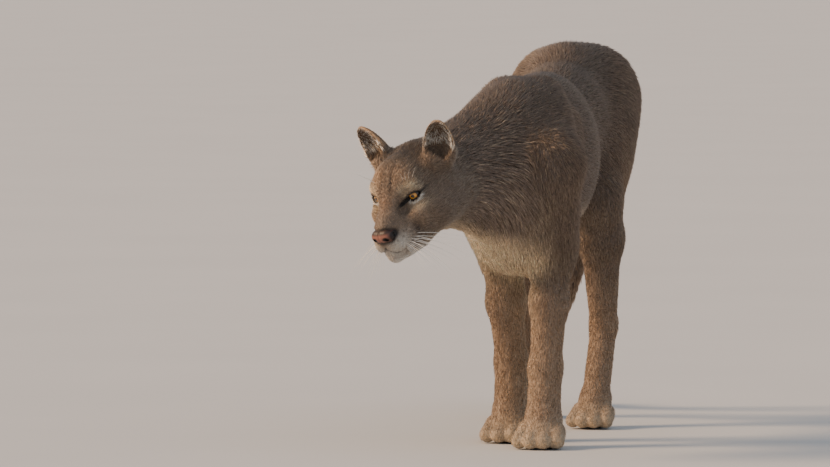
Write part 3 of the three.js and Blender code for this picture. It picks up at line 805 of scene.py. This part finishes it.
# %% Colours of the body
def body_colour(p, up, shares):
    """Brown above, cream below, at the breast, inside the legs and on the paws, sand on the legs and the
    thigh, and dark at the end of the tail. `up` is how far the skin faces up."""
    x, y, z = p.T
    body = 1 - (shares["head"] + shares["face"])
    # The breast's cream is the cougar's own colour, but it reaches higher on the lit far side than on the
    # near side, and the near shoulder gets none: that lean is painted light and shade.
    edge = ramp((398 + 0.35 * y - z) / 46)
    breast = shares["chest"] + 0.7 * shares["shoulder"] * ramp((y + 62) / 30) + 0.6 * shares["neck"]
    inner = ramp(1 - np.abs(y) / 46) * ramp((400 - z) / 80) * (x < 300)
    thigh = bell(x, 470, 90) * bell(z, 400, 100) * shares["thigh"]
    return blend_all(FLANK, [
        (BACK, ramp(up * 0.9 + 0.1) * 0.8),
        (CREAM, ramp((-up - 0.35) * 1.8) * (shares["trunk"] + shares["thigh"] * 0.5)),
        (CREAM, 1.3 * edge * breast * ramp(0.8 - up)),
        (CREAM, inner * 0.75),
        (SAND, ramp((330 - z) / 140) * body * 0.65),
        (SAND, thigh * 0.45),
        (CREAM, ramp((60 - z) / 50) * body * 0.55),
        (DARK, ramp((x - 846) / 40) * shares["tail"] * 0.95),
    ])


# %% Colours of the head
def eye_marks(p, side):
    """White below an eye and cream above it, then black: the rim, which fades with the distance from the
    slit, a streak at the outer corner and the tear mark at the inner one, a disc drawn out down the nose."""
    across, above, ahead = eye_coordinates(p, side)
    u = across / HALF_EYE
    top, bottom = lid_heights(np.clip(u, -1, 1))
    below = bell(bottom - above, 4.8, 2.2) * (np.abs(u) < 1.15) * (ahead > 0)
    brow = bell(above - top, 7, 3.2) * (np.abs(u) < 1.2) * (ahead > 0)
    over = np.maximum(above - top, bottom - above) + np.maximum(np.abs(across) - HALF_EYE, 0)
    rim = ramp(2.2 * bell(np.maximum(over, 0), 0, 2.6) - 0.7) * (ahead > 0)
    slant = ramp((-across - 11) / 12)
    tear = np.hypot(across + 11 + 12 * slant, above + 2 + 7 * slant)
    tear = ramp((7.5 - 2.5 * slant - tear) / 2) * (ahead > -6)
    corner = bell(across, HALF_EYE + 2, 5) * bell(above, 4, 2.6) * (ahead > -8)
    return [(WHITE, below * 1.2), (CREAM, brow * 0.6), (BLACK, np.maximum.reduce([rim, corner * 0.9, tear]))]


def ear_marks(p, normal, side):
    """Tan along the edge of an ear, partly its own colour and partly painted sunlight, dark on its back, and
    painted shade in its hollow.
    """
    on_ear = ramp((ear_coordinates(p, side)[:, 2] - 22) / 12) * ramp(8 - ear_distance(p, side))
    facing = normal @ ear_frame(side)[2]
    return [(EAR_RIM_TAN_AND_SUNLIT, on_ear * 0.95), (DARK, on_ear * ramp(0.1 - facing * 1.5) * 0.85),
            (EAR_HOLLOW_SHADE, on_ear * ramp(facing * 2 - 0.2) * 0.85)]


def head_colour(p, normal):
    """Tawny, then the marks of the table, the furrows, eyes and ears, the lips and the edge of the nose."""
    x, y, z = in_head(p).T
    mirrored = np.column_stack([x, np.abs(y), z])
    marks = [(colour, strength * np.exp(-(((mirrored - middle) / radii) ** 2).sum(axis=1)))
             for middle, radii, colour, strength in FACE_MARKS]
    marks.append((DARK, bell(np.abs(y), 9.5, 2.6) * bell(z, 42, 17) * (x > 0) * 0.75))
    for side in (1, -1):
        marks += eye_marks(p, side) + ear_marks(p, normal, side)
    marks.append((BLACK, ramp((3.2 - to_line(p, mouth_left, mouth_right)) / 1.4) * 0.95))
    marks.append((BLACK, ramp((2.8 - to_line(p, cleft)) / 1.2) * 0.95))
    marks.append((DARK, bell(off_nose(p), 0, 3) * 0.9))
    return blend_all(TAWNY, marks)


def coat_colour(p, normal):
    """The coat's colour at points of the skin, from where they are, which way they face and what part they
    are. The head's colours fade into the body's on the neck."""
    shares = dict(zip(PARTS, part_shares(p)))
    head_share = (shares["head"] + shares["face"]) * 1.6 - 0.25
    return blend(body_colour(p, normal[:, 2], shares), head_colour(p, normal), head_share)


# %% [markdown]
# ## An unwrap of the skin
# A UV map tells where on a picture each tuft belongs. The body is a set of tubes, so each part is laid flat
# as a cylinder: one way is along it, the other is round it. Each part has its own strip of the picture.

# %% The unwrap
STRIPS = {name: (k % 5 / 5 + 0.01, k // 5 / 2 + 0.01) for k, name in enumerate(PARTS)}
STRIP_SIZE = (0.18, 0.48)


def unwrap(p, shares):
    """Along: x for the trunk, height for the legs, the head's own x for the head. Round: the angle about
    that way. Both are scaled to the part's own strip."""
    strongest = shares.argmax(axis=0)
    q = in_head(p)
    uv = np.zeros((len(p), 2))
    for k, name in enumerate(PARTS):
        here = strongest == k
        if not here.any():
            continue
        s, h = p[here], q[here]
        if name in ("head", "face"):
            along, round_ = h[:, 0], np.arctan2(h[:, 1], h[:, 2] + 30)
        elif name in ("trunk", "neck", "chest"):
            along, round_ = s[:, 0], np.arctan2(s[:, 1], s[:, 2] - 500)
        elif name == "tail":
            along, round_ = s[:, 0] - s[:, 2], np.arctan2(s[:, 1] - 40, s[:, 0] - 780)
        else:
            along = s[:, 2]
            round_ = np.arctan2(s[:, 1] - np.sign(s[:, 1]) * 60, s[:, 0] - np.where(s[:, 0] > 280, 500, 30))
        along = (along - along.min()) / max(float(np.ptp(along)), 1e-6)
        uv[here, 0] = STRIPS[name][0] + along * STRIP_SIZE[0]
        uv[here, 1] = STRIPS[name][1] + (round_ / (2 * np.pi) + 0.5) * STRIP_SIZE[1]
    return uv


def paint(mesh, colours):
    """Linear colours of the corners, kept on the mesh."""
    layer = mesh.color_attributes.new("Coat", "FLOAT_COLOR", "POINT")
    rgba = np.column_stack([np.clip(colours, 0, 1), np.ones(len(colours))]).astype(np.float32)
    layer.data.foreach_set("color", rgba.ravel())


def lay_uv(mesh, uv):
    """A UV map from one place for each corner of the mesh."""
    layer = mesh.uv_layers.new(name="OFBake")
    index = read_rows(mesh.loops, "vertex_index", 1, np.int32)[:, 0]
    layer.data.foreach_set("uv", uv[index].astype(np.float32).ravel())


SKIN_SHADE = 0.62  # the roots of a coat are in its own shade
SOLES_BELOW = 3
skin_normals = read_rows(joined.vertices, "normal", 3, np.float32)
skin_shares = part_shares(skin_spots)
skin_colours = coat_colour(skin_spots, skin_normals)
skin_colours[skin_spots[:, 2] < SOLES_BELOW] = DARK
paint(joined, skin_colours * SKIN_SHADE)
skin_uv = unwrap(skin_spots, skin_shares)
lay_uv(joined, skin_uv)
print("skin painted")

# %% [markdown]
# ## Materials
# Hair is keratin, IOR about 1.55, with scales that scatter light, so it is rough with a soft sheen along its
# edges. The skin under it is the same colour and darker. The eye is wet, with a smooth cornea. Nose leather
# is damp skin with fine pebbles, about a millimetre across.

# %% Materials
def add_node(tree, kind, settings=None, links=None):
    """One node, with values for its settings and sockets, and links into its sockets."""
    node = tree.nodes.new(kind)
    for key, value in (settings or {}).items():
        if isinstance(key, int) or key in node.inputs:
            node.inputs[key].default_value = value
        else:
            setattr(node, key, value)
    for key, source in (links or {}).items():
        tree.links.new(source, node.inputs[key])
    return node


def new_material(name, settings, painted=False):
    """A material with settings on its shader. A painted one takes its colour from the mesh."""
    material = bpy.data.materials.new(name)
    material.use_nodes = True
    tree = material.node_tree
    shader = tree.nodes["Principled BSDF"]
    for key, value in settings.items():
        shader.inputs[key].default_value = value
    if painted:
        coat = add_node(tree, "ShaderNodeAttribute", {"attribute_name": "Coat"})
        tree.links.new(coat.outputs["Color"], shader.inputs["Base Color"])
    return material, tree, shader


def shade_by_noise(tree, shader, noise, colour, spread, dark, light):
    """The base colour is a colour, fixed or from a socket, times a noise stretched from dark to light."""
    shade = add_node(tree, "ShaderNodeMapRange", {"From Min": 0.5 - spread, "From Max": 0.5 + spread,
                                                  "To Min": dark, "To Max": light}, {"Value": noise})
    mixed = add_node(tree, "ShaderNodeVectorMath", {"operation": "SCALE"}, {"Scale": shade.outputs["Result"]})
    if isinstance(colour, bpy.types.NodeSocket):
        tree.links.new(colour, mixed.inputs[0])
    else:
        mixed.inputs[0].default_value = colour
    tree.links.new(mixed.outputs["Vector"], shader.inputs["Base Color"])


def mottled_material(name, settings, colour, scale, dark, light):
    """One colour, lighter and darker in places by a noise of the object's own place."""
    material, tree, shader = new_material(name, settings)
    place = add_node(tree, "ShaderNodeTexCoord")
    noise = add_node(tree, "ShaderNodeTexNoise", {"Scale": scale}, {"Vector": place.outputs["Object"]})
    shade_by_noise(tree, shader, noise.outputs["Fac"], colour, 0.5, dark, light)
    return material


def add_relief(tree, shader, height, strength, depth):
    """A bump of the surface by a height from a pattern."""
    relief = add_node(tree, "ShaderNodeBump", {"Strength": strength, "Distance": depth}, {"Height": height})
    tree.links.new(relief.outputs["Normal"], shader.inputs["Normal"])


# %% Hair
HAIR_SCALE = 1 / (2.2 * MM)  # a lock of short hair is about 2 mm wide
HAIR_RELIEF = 0.8 * MM


def hair_material(name, roughness, bump):
    """Hair: the coat's own colour, broken up by fine light and dark hairs."""
    material, tree, shader = new_material(name, {"Roughness": roughness, "IOR": 1.55, "Sheen Weight": 0.06,
                                                 "Sheen Roughness": 0.5})
    coat = add_node(tree, "ShaderNodeAttribute", {"attribute_name": "Coat"})
    place = add_node(tree, "ShaderNodeTexCoord")
    stretched = add_node(tree, "ShaderNodeMapping", {"Scale": (0.25, 1, 0.6)},
                         {"Vector": place.outputs["Object"]})
    noise = add_node(tree, "ShaderNodeTexNoise", {"Scale": HAIR_SCALE, "Detail": 3.0},
                     {"Vector": stretched.outputs["Vector"]})
    shade_by_noise(tree, shader, noise.outputs["Fac"], coat.outputs["Color"], 0.2, 0.78, 1.2)
    add_relief(tree, shader, noise.outputs["Fac"], bump, HAIR_RELIEF)
    return material


skin_fur = hair_material("short_fur_on_skin", 0.75, 0.9)
guard_hair = hair_material("guard_hair", 0.62, 0.3)
skin = add_object("skin", joined, skin_fur)
FLESH_NODES = [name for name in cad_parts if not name.startswith(("eye_", "nose"))]
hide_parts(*FLESH_NODES)
print("skin replaces", len(FLESH_NODES), "solids")

# %% [markdown]
# ## The eyes
# A cat's eye is a wet ball, almost all iris, with a round pupil in daylight, a dark ring at the iris's edge
# and a bulging cornea. A ball whose front is raised a little shows that bulge. The colour is by the angle
# from the line of sight, kept on the mesh, so the iris stays round from every side.

# %% Eyes
IRIS_ANGLE, PUPIL_ANGLE, FRONT_ANGLE = math.radians(32), math.radians(12), 0.8
AMBER, AMBER_DARK, AMBER_LIGHT = linear("#d8962e"), linear("#8a5416"), linear("#e8b65a")
PUPIL = linear("#050404")
RINGS, FRONT_RINGS, SPOKES = 72, 54, 96
BULGE, BULGE_ANGLE = 1.0, 0.55
EYE_SETTINGS = {"Roughness": 0.06, "IOR": 1.38, "Coat Weight": 1.0, "Coat Roughness": 0.02,
                "Specular IOR Level": 0.6}
eye_material, _, _ = new_material("wet_eye", EYE_SETTINGS, True)


def closed_rings(count, sides):
    """Triangles over rings of corners that follow each other, each square cut in two. A fan closes either
    end: the last two corners of the mesh are the two poles."""
    i, j = np.meshgrid(np.arange(count - 1), np.arange(sides), indexing="ij")
    k = (j + 1) % sides
    squares = np.stack([i * sides + j, i * sides + k, (i + 1) * sides + k, (i + 1) * sides + j], -1)
    squares = squares.reshape(-1, 4)
    ring = np.arange(sides)
    after, last = (ring + 1) % sides, (count - 1) * sides
    start = np.column_stack([np.full(sides, count * sides), after, ring])
    end = np.column_stack([np.full(sides, count * sides + 1), last + ring, last + after])
    return np.vstack([squares[:, [0, 1, 2]], squares[:, [0, 2, 3]], start, end])


def unit(way):
    """A direction, or rows of them, at length one."""
    return way / np.linalg.norm(way, axis=-1, keepdims=True)


def eye_ball(side):
    """A ball about the gaze: rings by the angle from it, the front raised by a bell curve of that angle. The
    iris's streaks are waves of the angle round the gaze."""
    angle = np.concatenate([np.linspace(0, FRONT_ANGLE, FRONT_RINGS),
                            np.linspace(FRONT_ANGLE + 0.03, np.pi, RINGS - FRONT_RINGS)])
    turn = np.linspace(0, 2 * np.pi, SPOKES, endpoint=False)
    a, t = (part[..., None] for part in np.meshgrid(angle[1:-1], turn, indexing="ij"))
    gaze = GAZE[side]
    across = unit(EYE_OUT[side] - gaze * (EYE_OUT[side] @ gaze))
    above = np.cross(gaze, across)
    flat = EYE_RADIUS - BULGE
    ways = np.cos(a) * gaze + np.sin(a) * (np.cos(t) * across + np.sin(t) * above)
    rays = ((flat + BULGE * bell(a, 0, BULGE_ANGLE)) * ways).reshape(-1, 3)
    rays = np.vstack([rays, gaze * EYE_RADIUS, -gaze * flat])
    mesh = make_mesh("eye", EYE_SPOT[side] + rays, closed_rings(RINGS - 2, SPOKES)[:, ::-1])
    off = np.arccos(np.clip(unit(rays) @ gaze, -1, 1))
    spin = np.arctan2(rays @ above, rays @ across)
    streaks = 0.5 + 0.28 * np.sin(31 * spin + 3 * np.sin(5 * spin)) + 0.22 * np.sin(57 * spin + 1.3)
    outwards = ramp((off - PUPIL_ANGLE) / (IRIS_ANGLE - PUPIL_ANGLE))
    paint(mesh, blend_all(AMBER, [
        (AMBER_DARK, 0.55 * streaks * (0.4 + outwards * 0.8)),
        (AMBER_LIGHT, bell(outwards, 0.25, 0.18) * 0.5),
        (BLACK, (off - IRIS_ANGLE + 0.07) / 0.06), (PUPIL, (PUPIL_ANGLE - off) / 0.02 + 0.5)]))
    return mesh


for side, name in ((1, "left"), (-1, "right")):
    eye = add_object("eyeball_" + name, eye_ball(side), eye_material)
    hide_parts("eye_" + name)
print("eyes made")

# %% [markdown]
# ## The rims of the lids
# The edge of each lid is bare, dark and wet, a bead about two millimetres thick. It is a tube along the lid's
# edge, on the ball of the eye.

# %% Lid rims
rim_material = mottled_material("wet_dark_lid", {"Roughness": 0.35, "IOR": 1.45}, BLACK * 1.2, 900, 0.2, 1.8)
RIM_RADII = (1.5, 1.15)  # of the upper and the lower lid


def tube(line, radii, sides=8):
    """Rings round a line: each is a circle across the line's way, and the two ends close on a point."""
    way = unit(np.gradient(line, axis=0))
    helper = np.where(np.abs(way[:, 2:3]) < 0.9, np.array([[0, 0, 1.0]]), np.array([[1.0, 0, 0]]))
    a = unit(np.cross(way, helper))
    b = np.cross(way, a)
    turn = np.linspace(0, 2 * np.pi, sides, endpoint=False)[:, None]
    circle = np.cos(turn) * a[:, None] + np.sin(turn) * b[:, None]
    rings = line[:, None] + circle * np.asarray(radii)[:, None, None]
    return np.vstack([rings.reshape(-1, 3), line[0], line[-1]]), closed_rings(len(line), sides)


def join(parts):
    """Several sets of corners and triangles as one."""
    counts = np.cumsum([0] + [len(points) for points, _ in parts[:-1]])
    faces = np.vstack([faces + count for (_, faces), count in zip(parts, counts)])
    return np.vstack([points for points, _ in parts]), faces


rim_parts = []
for side in (1, -1):
    u = np.sin(np.linspace(-np.pi / 2, np.pi / 2, 60))
    for height, thick in zip(lid_heights(u), RIM_RADII):
        across = u * HALF_EYE
        flat = across[:, None] * EYE_OUT[side] + height[:, None] * EYE_UP
        ahead = np.sqrt(np.maximum((EYE_RADIUS + 0.5) ** 2 - across**2 - height**2, 16))
        line = EYE_SPOT[side] + flat + ahead[:, None] * GAZE[side]
        rim_parts.append(tube(line, thick * (0.6 + 0.4 * np.cos(u * np.pi / 2))))
add_object("lid_rims", make_mesh("lid_rims", *join(rim_parts)), rim_material)
print("lid rims made")

# %% [markdown]
# ## The nose
# Nose leather is bare, damp and pebbled, pink brown with a dark edge. Its solids are a few soft balls with
# the nostrils taken out, and a fine net over the same distances shows them round.

# %% Nose leather
nostrils = [smooth_line(on_head([(117, 10 * side, -30), (106, 15 * side, -30), (97, 23 * side, -26)]), 14)
            for side in (1, -1)]
NOSTRIL, NOSE_CELL = 3.1, 1.1
PINK, NOSE_EDGE = linear("#8c5d4f"), linear("#1d110e")
PEBBLE, PEBBLE_RELIEF = 1.1 * MM, 0.3 * MM


def nose_distance(p):
    """The nose's soft balls, with the nostrils and the cleft between them taken out."""
    q = in_head(p)
    d = flesh(p, nose_muscles) + 0.3 + 1.1 * bell(q[:, 1], 0, 1.8) * (q[:, 0] > 100)
    return np.maximum(d, NOSTRIL - to_line(p, *nostrils))


nose_box = on_head([(x, y, z) for x in (84, 122) for y in (-28, 28) for z in (-56, -8)])
nose_corners, nose_faces = net(nose_distance, nose_box.min(axis=0), nose_box.max(axis=0), NOSE_CELL)
nose_mesh = make_mesh("nose", nose_corners, nose_faces)
x, y, z = in_head(nose_corners).T
nose_marks = [(NOSE_EDGE, ramp((z + 23) / 4) * 0.95), (NOSE_EDGE, (np.abs(y) - 15) / 5),
              (NOSE_EDGE, (-33 - z) / 5)]
nose_marks += [(BLACK, bell(to_line(nose_corners, nostril), 3.2, 1.6)) for nostril in nostrils]
paint(nose_mesh, blend_all(PINK, nose_marks))
nose_material, tree, shader = new_material("damp_nose_leather", {"Roughness": 0.5, "IOR": 1.45}, True)
place = add_node(tree, "ShaderNodeTexCoord")
pebbles = add_node(tree, "ShaderNodeTexVoronoi", {"Scale": 1 / PEBBLE}, {"Vector": place.outputs["Object"]})
add_relief(tree, shader, pebbles.outputs["Distance"], 0.35, PEBBLE_RELIEF)
nose = add_object("nose_leather", nose_mesh, nose_material)
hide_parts("nose")
print("nose:", len(nose_corners), "corners")

# %% [markdown]
# ## The coat
# The coat is hundreds of thousands of hairs, and they clump. Each tuft here stands for a lock of them: a thin
# solid spike with three sides, rooted in the skin, lying along the body. Their roots are drawn at random over
# the skin's faces, with more of them where the coat is short, and each takes the colour of its place.

# %% Roots
TUFTS = 0.9  # all of them, as a share of what the table asks
BARE_BELOW = 6  # no tufts under the feet
joined.calc_loop_triangles()
skin_triangles = read_rows(joined.loop_triangles, "vertices", 3, np.int32)
tri_spots = skin_spots[skin_triangles]
tri_cross = np.cross(tri_spots[:, 1] - tri_spots[:, 0], tri_spots[:, 2] - tri_spots[:, 0])
tri_area = np.linalg.norm(tri_cross, axis=1) / 2
tri_density = coat_value(skin_shares[:, skin_triangles[:, 0]], DENSITY) / 100
tri_middle = tri_spots.mean(axis=1)
bare = (tri_middle[:, 2] < BARE_BELOW) | (flesh(tri_middle, nose_muscles) < 2.4)
bare |= (to_line(tri_middle, mouth_left, mouth_right) < 2.4) | (to_line(tri_middle, cleft) < 1.8)
for side in (1, -1):
    near_ball = np.linalg.norm(tri_middle - EYE_SPOT[side], axis=1) < EYE_RADIUS + 1.3
    bare |= near_ball & (eye_coordinates(tri_middle, side)[2] > 0)
counts = rng.poisson(np.where(bare, 0, tri_area * tri_density * TUFTS))
owner = np.repeat(np.arange(len(counts)), counts)
r1, r2 = rng.random(len(owner)), rng.random(len(owner))
over = r1 + r2 > 1
r1[over], r2[over] = 1 - r1[over], 1 - r2[over]
weights = np.column_stack([1 - r1 - r2, r1, r2])
corner_index = skin_triangles[owner]
roots = (skin_spots[corner_index] * weights[..., None]).sum(axis=1)
normals = unit((skin_normals[corner_index] * weights[..., None]).sum(axis=1))
shares = (skin_shares[:, corner_index] * weights).sum(axis=2)
root_uv = skin_uv[corner_index[:, 0]]
print("tufts:", len(roots))

# %% Length and lie of each tuft
length = coat_value(shares, LENGTH) * rng.uniform(0.7, 1.2, len(roots))
stand = np.radians(coat_value(shares, STAND)) * rng.uniform(0.5, 1.35, len(roots))
lie = lie_of_coat(roots)
x, y, z = in_head(roots).T
muzzle = ramp((x - 40) / 50) * (shares[PARTS.index("face")] > 0.3)
length *= 1 - 0.5 * muzzle
on_ears, in_ears = np.zeros((2, len(roots)), bool)
for side in (1, -1):
    gap, height = ear_distance(roots, side), ear_coordinates(roots, side)[:, 2]
    this_ear = (gap < 2.5) & (height > 16)
    on_ears |= this_ear
    in_ears |= this_ear & (normals @ ear_frame(side)[2] > 0.25)
    lie[this_ear] = ear_frame(side)[1]
length[on_ears] = rng.uniform(2.2, 4, on_ears.sum())
ear_height = np.where(y > 0, ear_coordinates(roots, 1)[:, 2], ear_coordinates(roots, -1)[:, 2])
short_at_tip = np.clip(1.1 - ear_height[in_ears] / EAR_HEIGHT, 0.12, 1)
length[in_ears] = rng.uniform(7, 17, in_ears.sum()) * short_at_tip
to_lips = to_line(roots, mouth_left, mouth_right, cleft)
length = np.minimum(length, np.maximum(to_lips - 2, 0.8))
lie = lie + rng.normal(0, 0.13, lie.shape)
lie -= normals * (lie * normals).sum(axis=1)[:, None]
lie /= np.maximum(np.linalg.norm(lie, axis=1), 1e-6)[:, None]
print("mean length", round(float(length.mean()), 1), "mm")

# %% Colour of each tuft
SPOT = linear("#5a3f2e")
colours = coat_colour(roots, normals)
pale_hair = np.where(rng.random(in_ears.sum()) < 0.65, rng.uniform(0.6, 1, in_ears.sum()), 0.05)
colours[in_ears] = blend(colours[in_ears], WHITE, pale_hair)
patch = np.sin(roots[:, 0] / 31 + 2 * np.sin(roots[:, 2] / 47)) * np.sin(roots[:, 1] / 29 + roots[:, 2] / 37)
fleck = rng.normal(1.05, 0.22, len(roots)) + 0.06 * patch
light_hair = rng.random(len(roots)) < 0.1
colours = colours * np.clip(fleck, 0.5, 1.6)[:, None]
brightness = colours[light_hair].mean(axis=1)
colours[light_hair] = blend(colours[light_hair], CREAM, 0.28 * ramp(brightness / 0.15))
pads = bell(x, 80, 17) * bell(np.abs(y), 35, 13) * bell(z, -42, 13) > 0.35
spots = (np.cos(z * 2 * np.pi / 6.4) > 0.35) & (np.cos(x * 2 * np.pi / 5.6) > 0) & pads
colours[spots] = blend(colours[spots], SPOT, np.full(spots.sum(), 0.8))
print("spots on the pads:", spots.sum(), "tufts")

# %% Tufts and locks
TUFT_PATCH = 0.0015
MOST_TRIANGLES = 190000
LONG_COAT = 20
LIFT = 0.4  # no hair goes under the floor
# For each corner: how far along and how high, as shares of the length. Then how far aside, up and back, as
# shares of the width, its painted shade (dark at the root and bright at the tip), and its place on the
# tuft's own patch of the picture.
TUFT = ([(0, 0, 0.5, -0.3, 0, 0.6, -1, -1), (0, 0, -0.5, -0.3, 0, 0.6, 1, -1),
         (0, 0, 0, 0.32, 0.5, 0.75, 0, 0), (1, 1, 0, 0, 0, 1.35, 0, 1)],
        [[2, 0, 3], [1, 2, 3], [0, 1, 3], [0, 2, 1]])
LOCK = ([(0, 0, 0.5, -0.25, 0, 0.6, -1, -1), (0, 0, -0.5, -0.25, 0, 0.6, 1, -1),
         (0, 0, 0, 0.3, 0, 0.7, 0, -1),
         (0.5, 0.6, 0.425, -0.2125, 0, 0.95, -1, 0), (0.5, 0.6, -0.425, -0.2125, 0, 0.95, 1, 0),
         (0.5, 0.6, 0, 0.255, 0, 1, 0, 0), (1, 0.75, 0, 0, 0, 1.35, 0, 1)],
        [[0, 3, 5], [0, 5, 2], [2, 5, 4], [2, 4, 1], [1, 4, 3], [1, 3, 0],
         [5, 3, 6], [4, 5, 6], [3, 4, 6], [0, 2, 1]])


def hairs(which, table, reach):
    """Spikes at the chosen roots. A corner is its root, plus its share of the reach along the lie, plus its
    share of the length times the sine of how far the hair stands off along the normal, plus its shares of
    the width."""
    rows = np.array(table[0])
    along, high, aside, up, back, root_shade_tip_light = rows[:, :6].T[..., None]
    way, normal = lie[which, None], normals[which, None]
    wide, rise = width[which, None, None], (length * np.sin(stand))[which, None, None]
    points = roots[which, None] + way * (along * reach[which, None, None] - back * wide)
    points = points + normal * (high * rise + up * wide) + np.cross(normal, way) * aside * wide
    points[..., 2] = np.maximum(points[..., 2], LIFT)
    faces = np.arange(len(which))[:, None, None] * len(rows) + np.array(table[1])
    uv = root_uv[which, None] + rows[:, 6:] * TUFT_PATCH
    # painted shade: each corner's colour is darkened towards the root and brightened at the tip
    tint = colours[which, None] * root_shade_tip_light
    return points.reshape(-1, 3), faces.reshape(-1, 3), tint.reshape(-1, 3), uv.reshape(-1, 2)


width = np.clip(length * 0.1, 0.5, 1.7) * rng.uniform(0.8, 1.2, len(roots))
strongest = shares.argmax(axis=0)
long_coat = (length > LONG_COAT) & ~in_ears
total = 0
for label, table, chosen, reach in (("coat_tufts", TUFT, ~long_coat, length * np.cos(stand)),
                                    ("coat_locks", LOCK, long_coat, length)):
    order = np.flatnonzero(chosen)
    order = order[np.argsort(strongest[order], kind="stable")]
    pieces = max(1, math.ceil(len(order) * len(table[1]) / MOST_TRIANGLES))
    for number, which in enumerate(np.array_split(order, pieces)):
        points, faces, tint, uv = hairs(which, table, reach)
        mesh = make_mesh(f"{label}_{number}", points, faces)
        paint(mesh, tint)
        lay_uv(mesh, uv)
        add_object(f"{label}_{number}", mesh, guard_hair, smooth=False)
        total += len(faces)
print("coat triangles:", total)

# %% [markdown]
# ## Whiskers
# Whiskers are single stiff hairs, white, up to 110 mm long and under a millimetre thick at the root. They
# grow in rows on the pads and a few over each brow. Each is a tapered tube that droops along a parabola. In
# the render they are drawn a little thick, so that they show.

# %% Whiskers
WHISKER_WHITE = linear("#f4f0e8")
whisker_material = mottled_material("white_whisker", {"Roughness": 0.4, "IOR": 1.55}, WHISKER_WHITE, 120,
                                    0.75, 1.1)
PAD_WHISKER, BROW_WHISKER = 0.42, 0.28  # radii at the root


def whisker(start, way, long, droop, thick):
    """A thinning tube that starts along `way` and bends down by the square of how far along it is."""
    t = np.linspace(0, 1, 14)[:, None]
    line = start + way * long * t + np.array([0, 0, -1.0]) * droop * t**2
    return tube(line, thick * (1 - 0.85 * t[:, 0]), 5)


whisker_parts = []
for side in (1, -1):
    for row in range(4):
        for column in range(5):
            aim = np.array([0.62 - 0.2 * column, side * 1.0, -0.42 - 0.16 * row + 0.05 * column])
            start = leaves_face((70, 0, -38), [aim])[0] - head_way(aim) * 2
            way = head_way((0.35 - 0.3 * column + rng.normal(0, 0.06), side * (1.0 - 0.08 * row),
                            -0.42 - 0.12 * row + rng.normal(0, 0.07)))
            long = (62 + 14 * column - 5 * row) * rng.uniform(0.75, 1.1)
            whisker_parts.append(whisker(start, way, long, long * rng.uniform(0.12, 0.34), PAD_WHISKER))
    for hair in range(4):
        start = settle(on_head((30 - 2 * hair, side * (26 + 4 * hair), 36))[None], head_distance)[0]
        way = head_way((0.35, side * (0.35 + 0.15 * hair), 0.9))
        whisker_parts.append(whisker(start, way, 34 + 6 * hair, 8, BROW_WHISKER))
add_object("whiskers", make_mesh("whiskers", *join(whisker_parts)), whisker_material)
print("whiskers:", len(whisker_parts))

# %% [markdown]
# ## Floor, light and camera
# The floor is pale and plain and so wide that its edge is out of sight. A warm soft light comes from the
# left, as low sun does, and a weak cool one fills the near side. The camera stands far off with a long lens,
# as for a wild animal, a little above the level of its back.

# %% Floor
FLOOR = 400.0
floor_mesh = bpy.data.meshes.new("floor")
floor_mesh.from_pydata([(-FLOOR, -FLOOR, 0), (FLOOR, -FLOOR, 0), (FLOOR, FLOOR, 0), (-FLOOR, FLOOR, 0)], [],
                       [(0, 1, 2, 3)])
floor_material = mottled_material("pale_studio_floor", {"Roughness": 0.8}, (1, 1, 1), 1.5, 0.46, 0.5)
floor_mesh.materials.append(floor_material)
floor = bpy.data.objects.new("floor", floor_mesh)
bpy.context.scene.collection.objects.link(floor)

# %% Camera
SIDE_ANGLE, HEIGHT_ANGLE = math.radians(11), math.radians(3)
DISTANCE, SENSOR, PIXEL = 12.0, 36.0, 0.00175  # metres, millimetres, metres of the animal to a pixel
IMAGE, WITHERS_PIXEL = np.array([830, 467]), np.array([520, 73])
to_camera = np.array([-math.cos(SIDE_ANGLE) * math.cos(HEIGHT_ANGLE),
                      -math.sin(SIDE_ANGLE) * math.cos(HEIGHT_ANGLE), math.sin(HEIGHT_ANGLE)])
right = np.array([math.sin(SIDE_ANGLE), -math.cos(SIDE_ANGLE), 0])
up = np.cross(right, -to_camera)
across, down = (IMAGE / 2 - WITHERS_PIXEL) * PIXEL
aim = (np.array([0, 0, WITHERS]) + SHIFT) * MM + right * across - up * down


def place_at(thing, axes, spot):
    """Puts a new camera or light in the scene, turned to three axes, at a spot."""
    holder = bpy.data.objects.new(thing.name, thing)
    bpy.context.scene.collection.objects.link(holder)
    matrix = np.eye(4)
    matrix[:3] = np.column_stack([*axes, spot])
    holder.matrix_world = Matrix(matrix.tolist())
    return holder


lens = bpy.data.cameras.new("camera")
lens.sensor_width, lens.lens = SENSOR, SENSOR * DISTANCE / (IMAGE[0] * PIXEL)
lens.clip_end = 200
bpy.context.scene.camera = place_at(lens, (right, up, to_camera), aim + to_camera * DISTANCE)
print("lens", round(lens.lens), "mm")

# %% Lights
def soft_sun(name, came_from, power, softness, colour):
    """A far light of a wide disc, so that the whole floor is lit evenly. It shines from `came_from`."""
    data = bpy.data.lights.new(name, "SUN")
    data.energy, data.angle, data.color = power, math.radians(softness), tuple(linear(colour))
    z = unit(came_from)
    x = unit(np.cross((0, 0, 1.0), z))
    place_at(data, (x, np.cross(z, x), z), np.zeros(3))


UP = np.array([0, 0, 1])
soft_sun("key", -right * 0.97 + to_camera * 0.12 + UP * 0.6, 5.4, 18, "#ffd6aa")
soft_sun("fill", right * 0.3 + to_camera * 0.9 + UP * 0.9, 0.5, 60, "#eef1f5")
world = bpy.data.worlds.new("studio")
world.use_nodes = True
sky = world.node_tree.nodes["Background"]
sky.inputs["Color"].default_value = (*linear("#d2dae4"), 1)
sky.inputs["Strength"].default_value = 0.8
bpy.context.scene.world = world
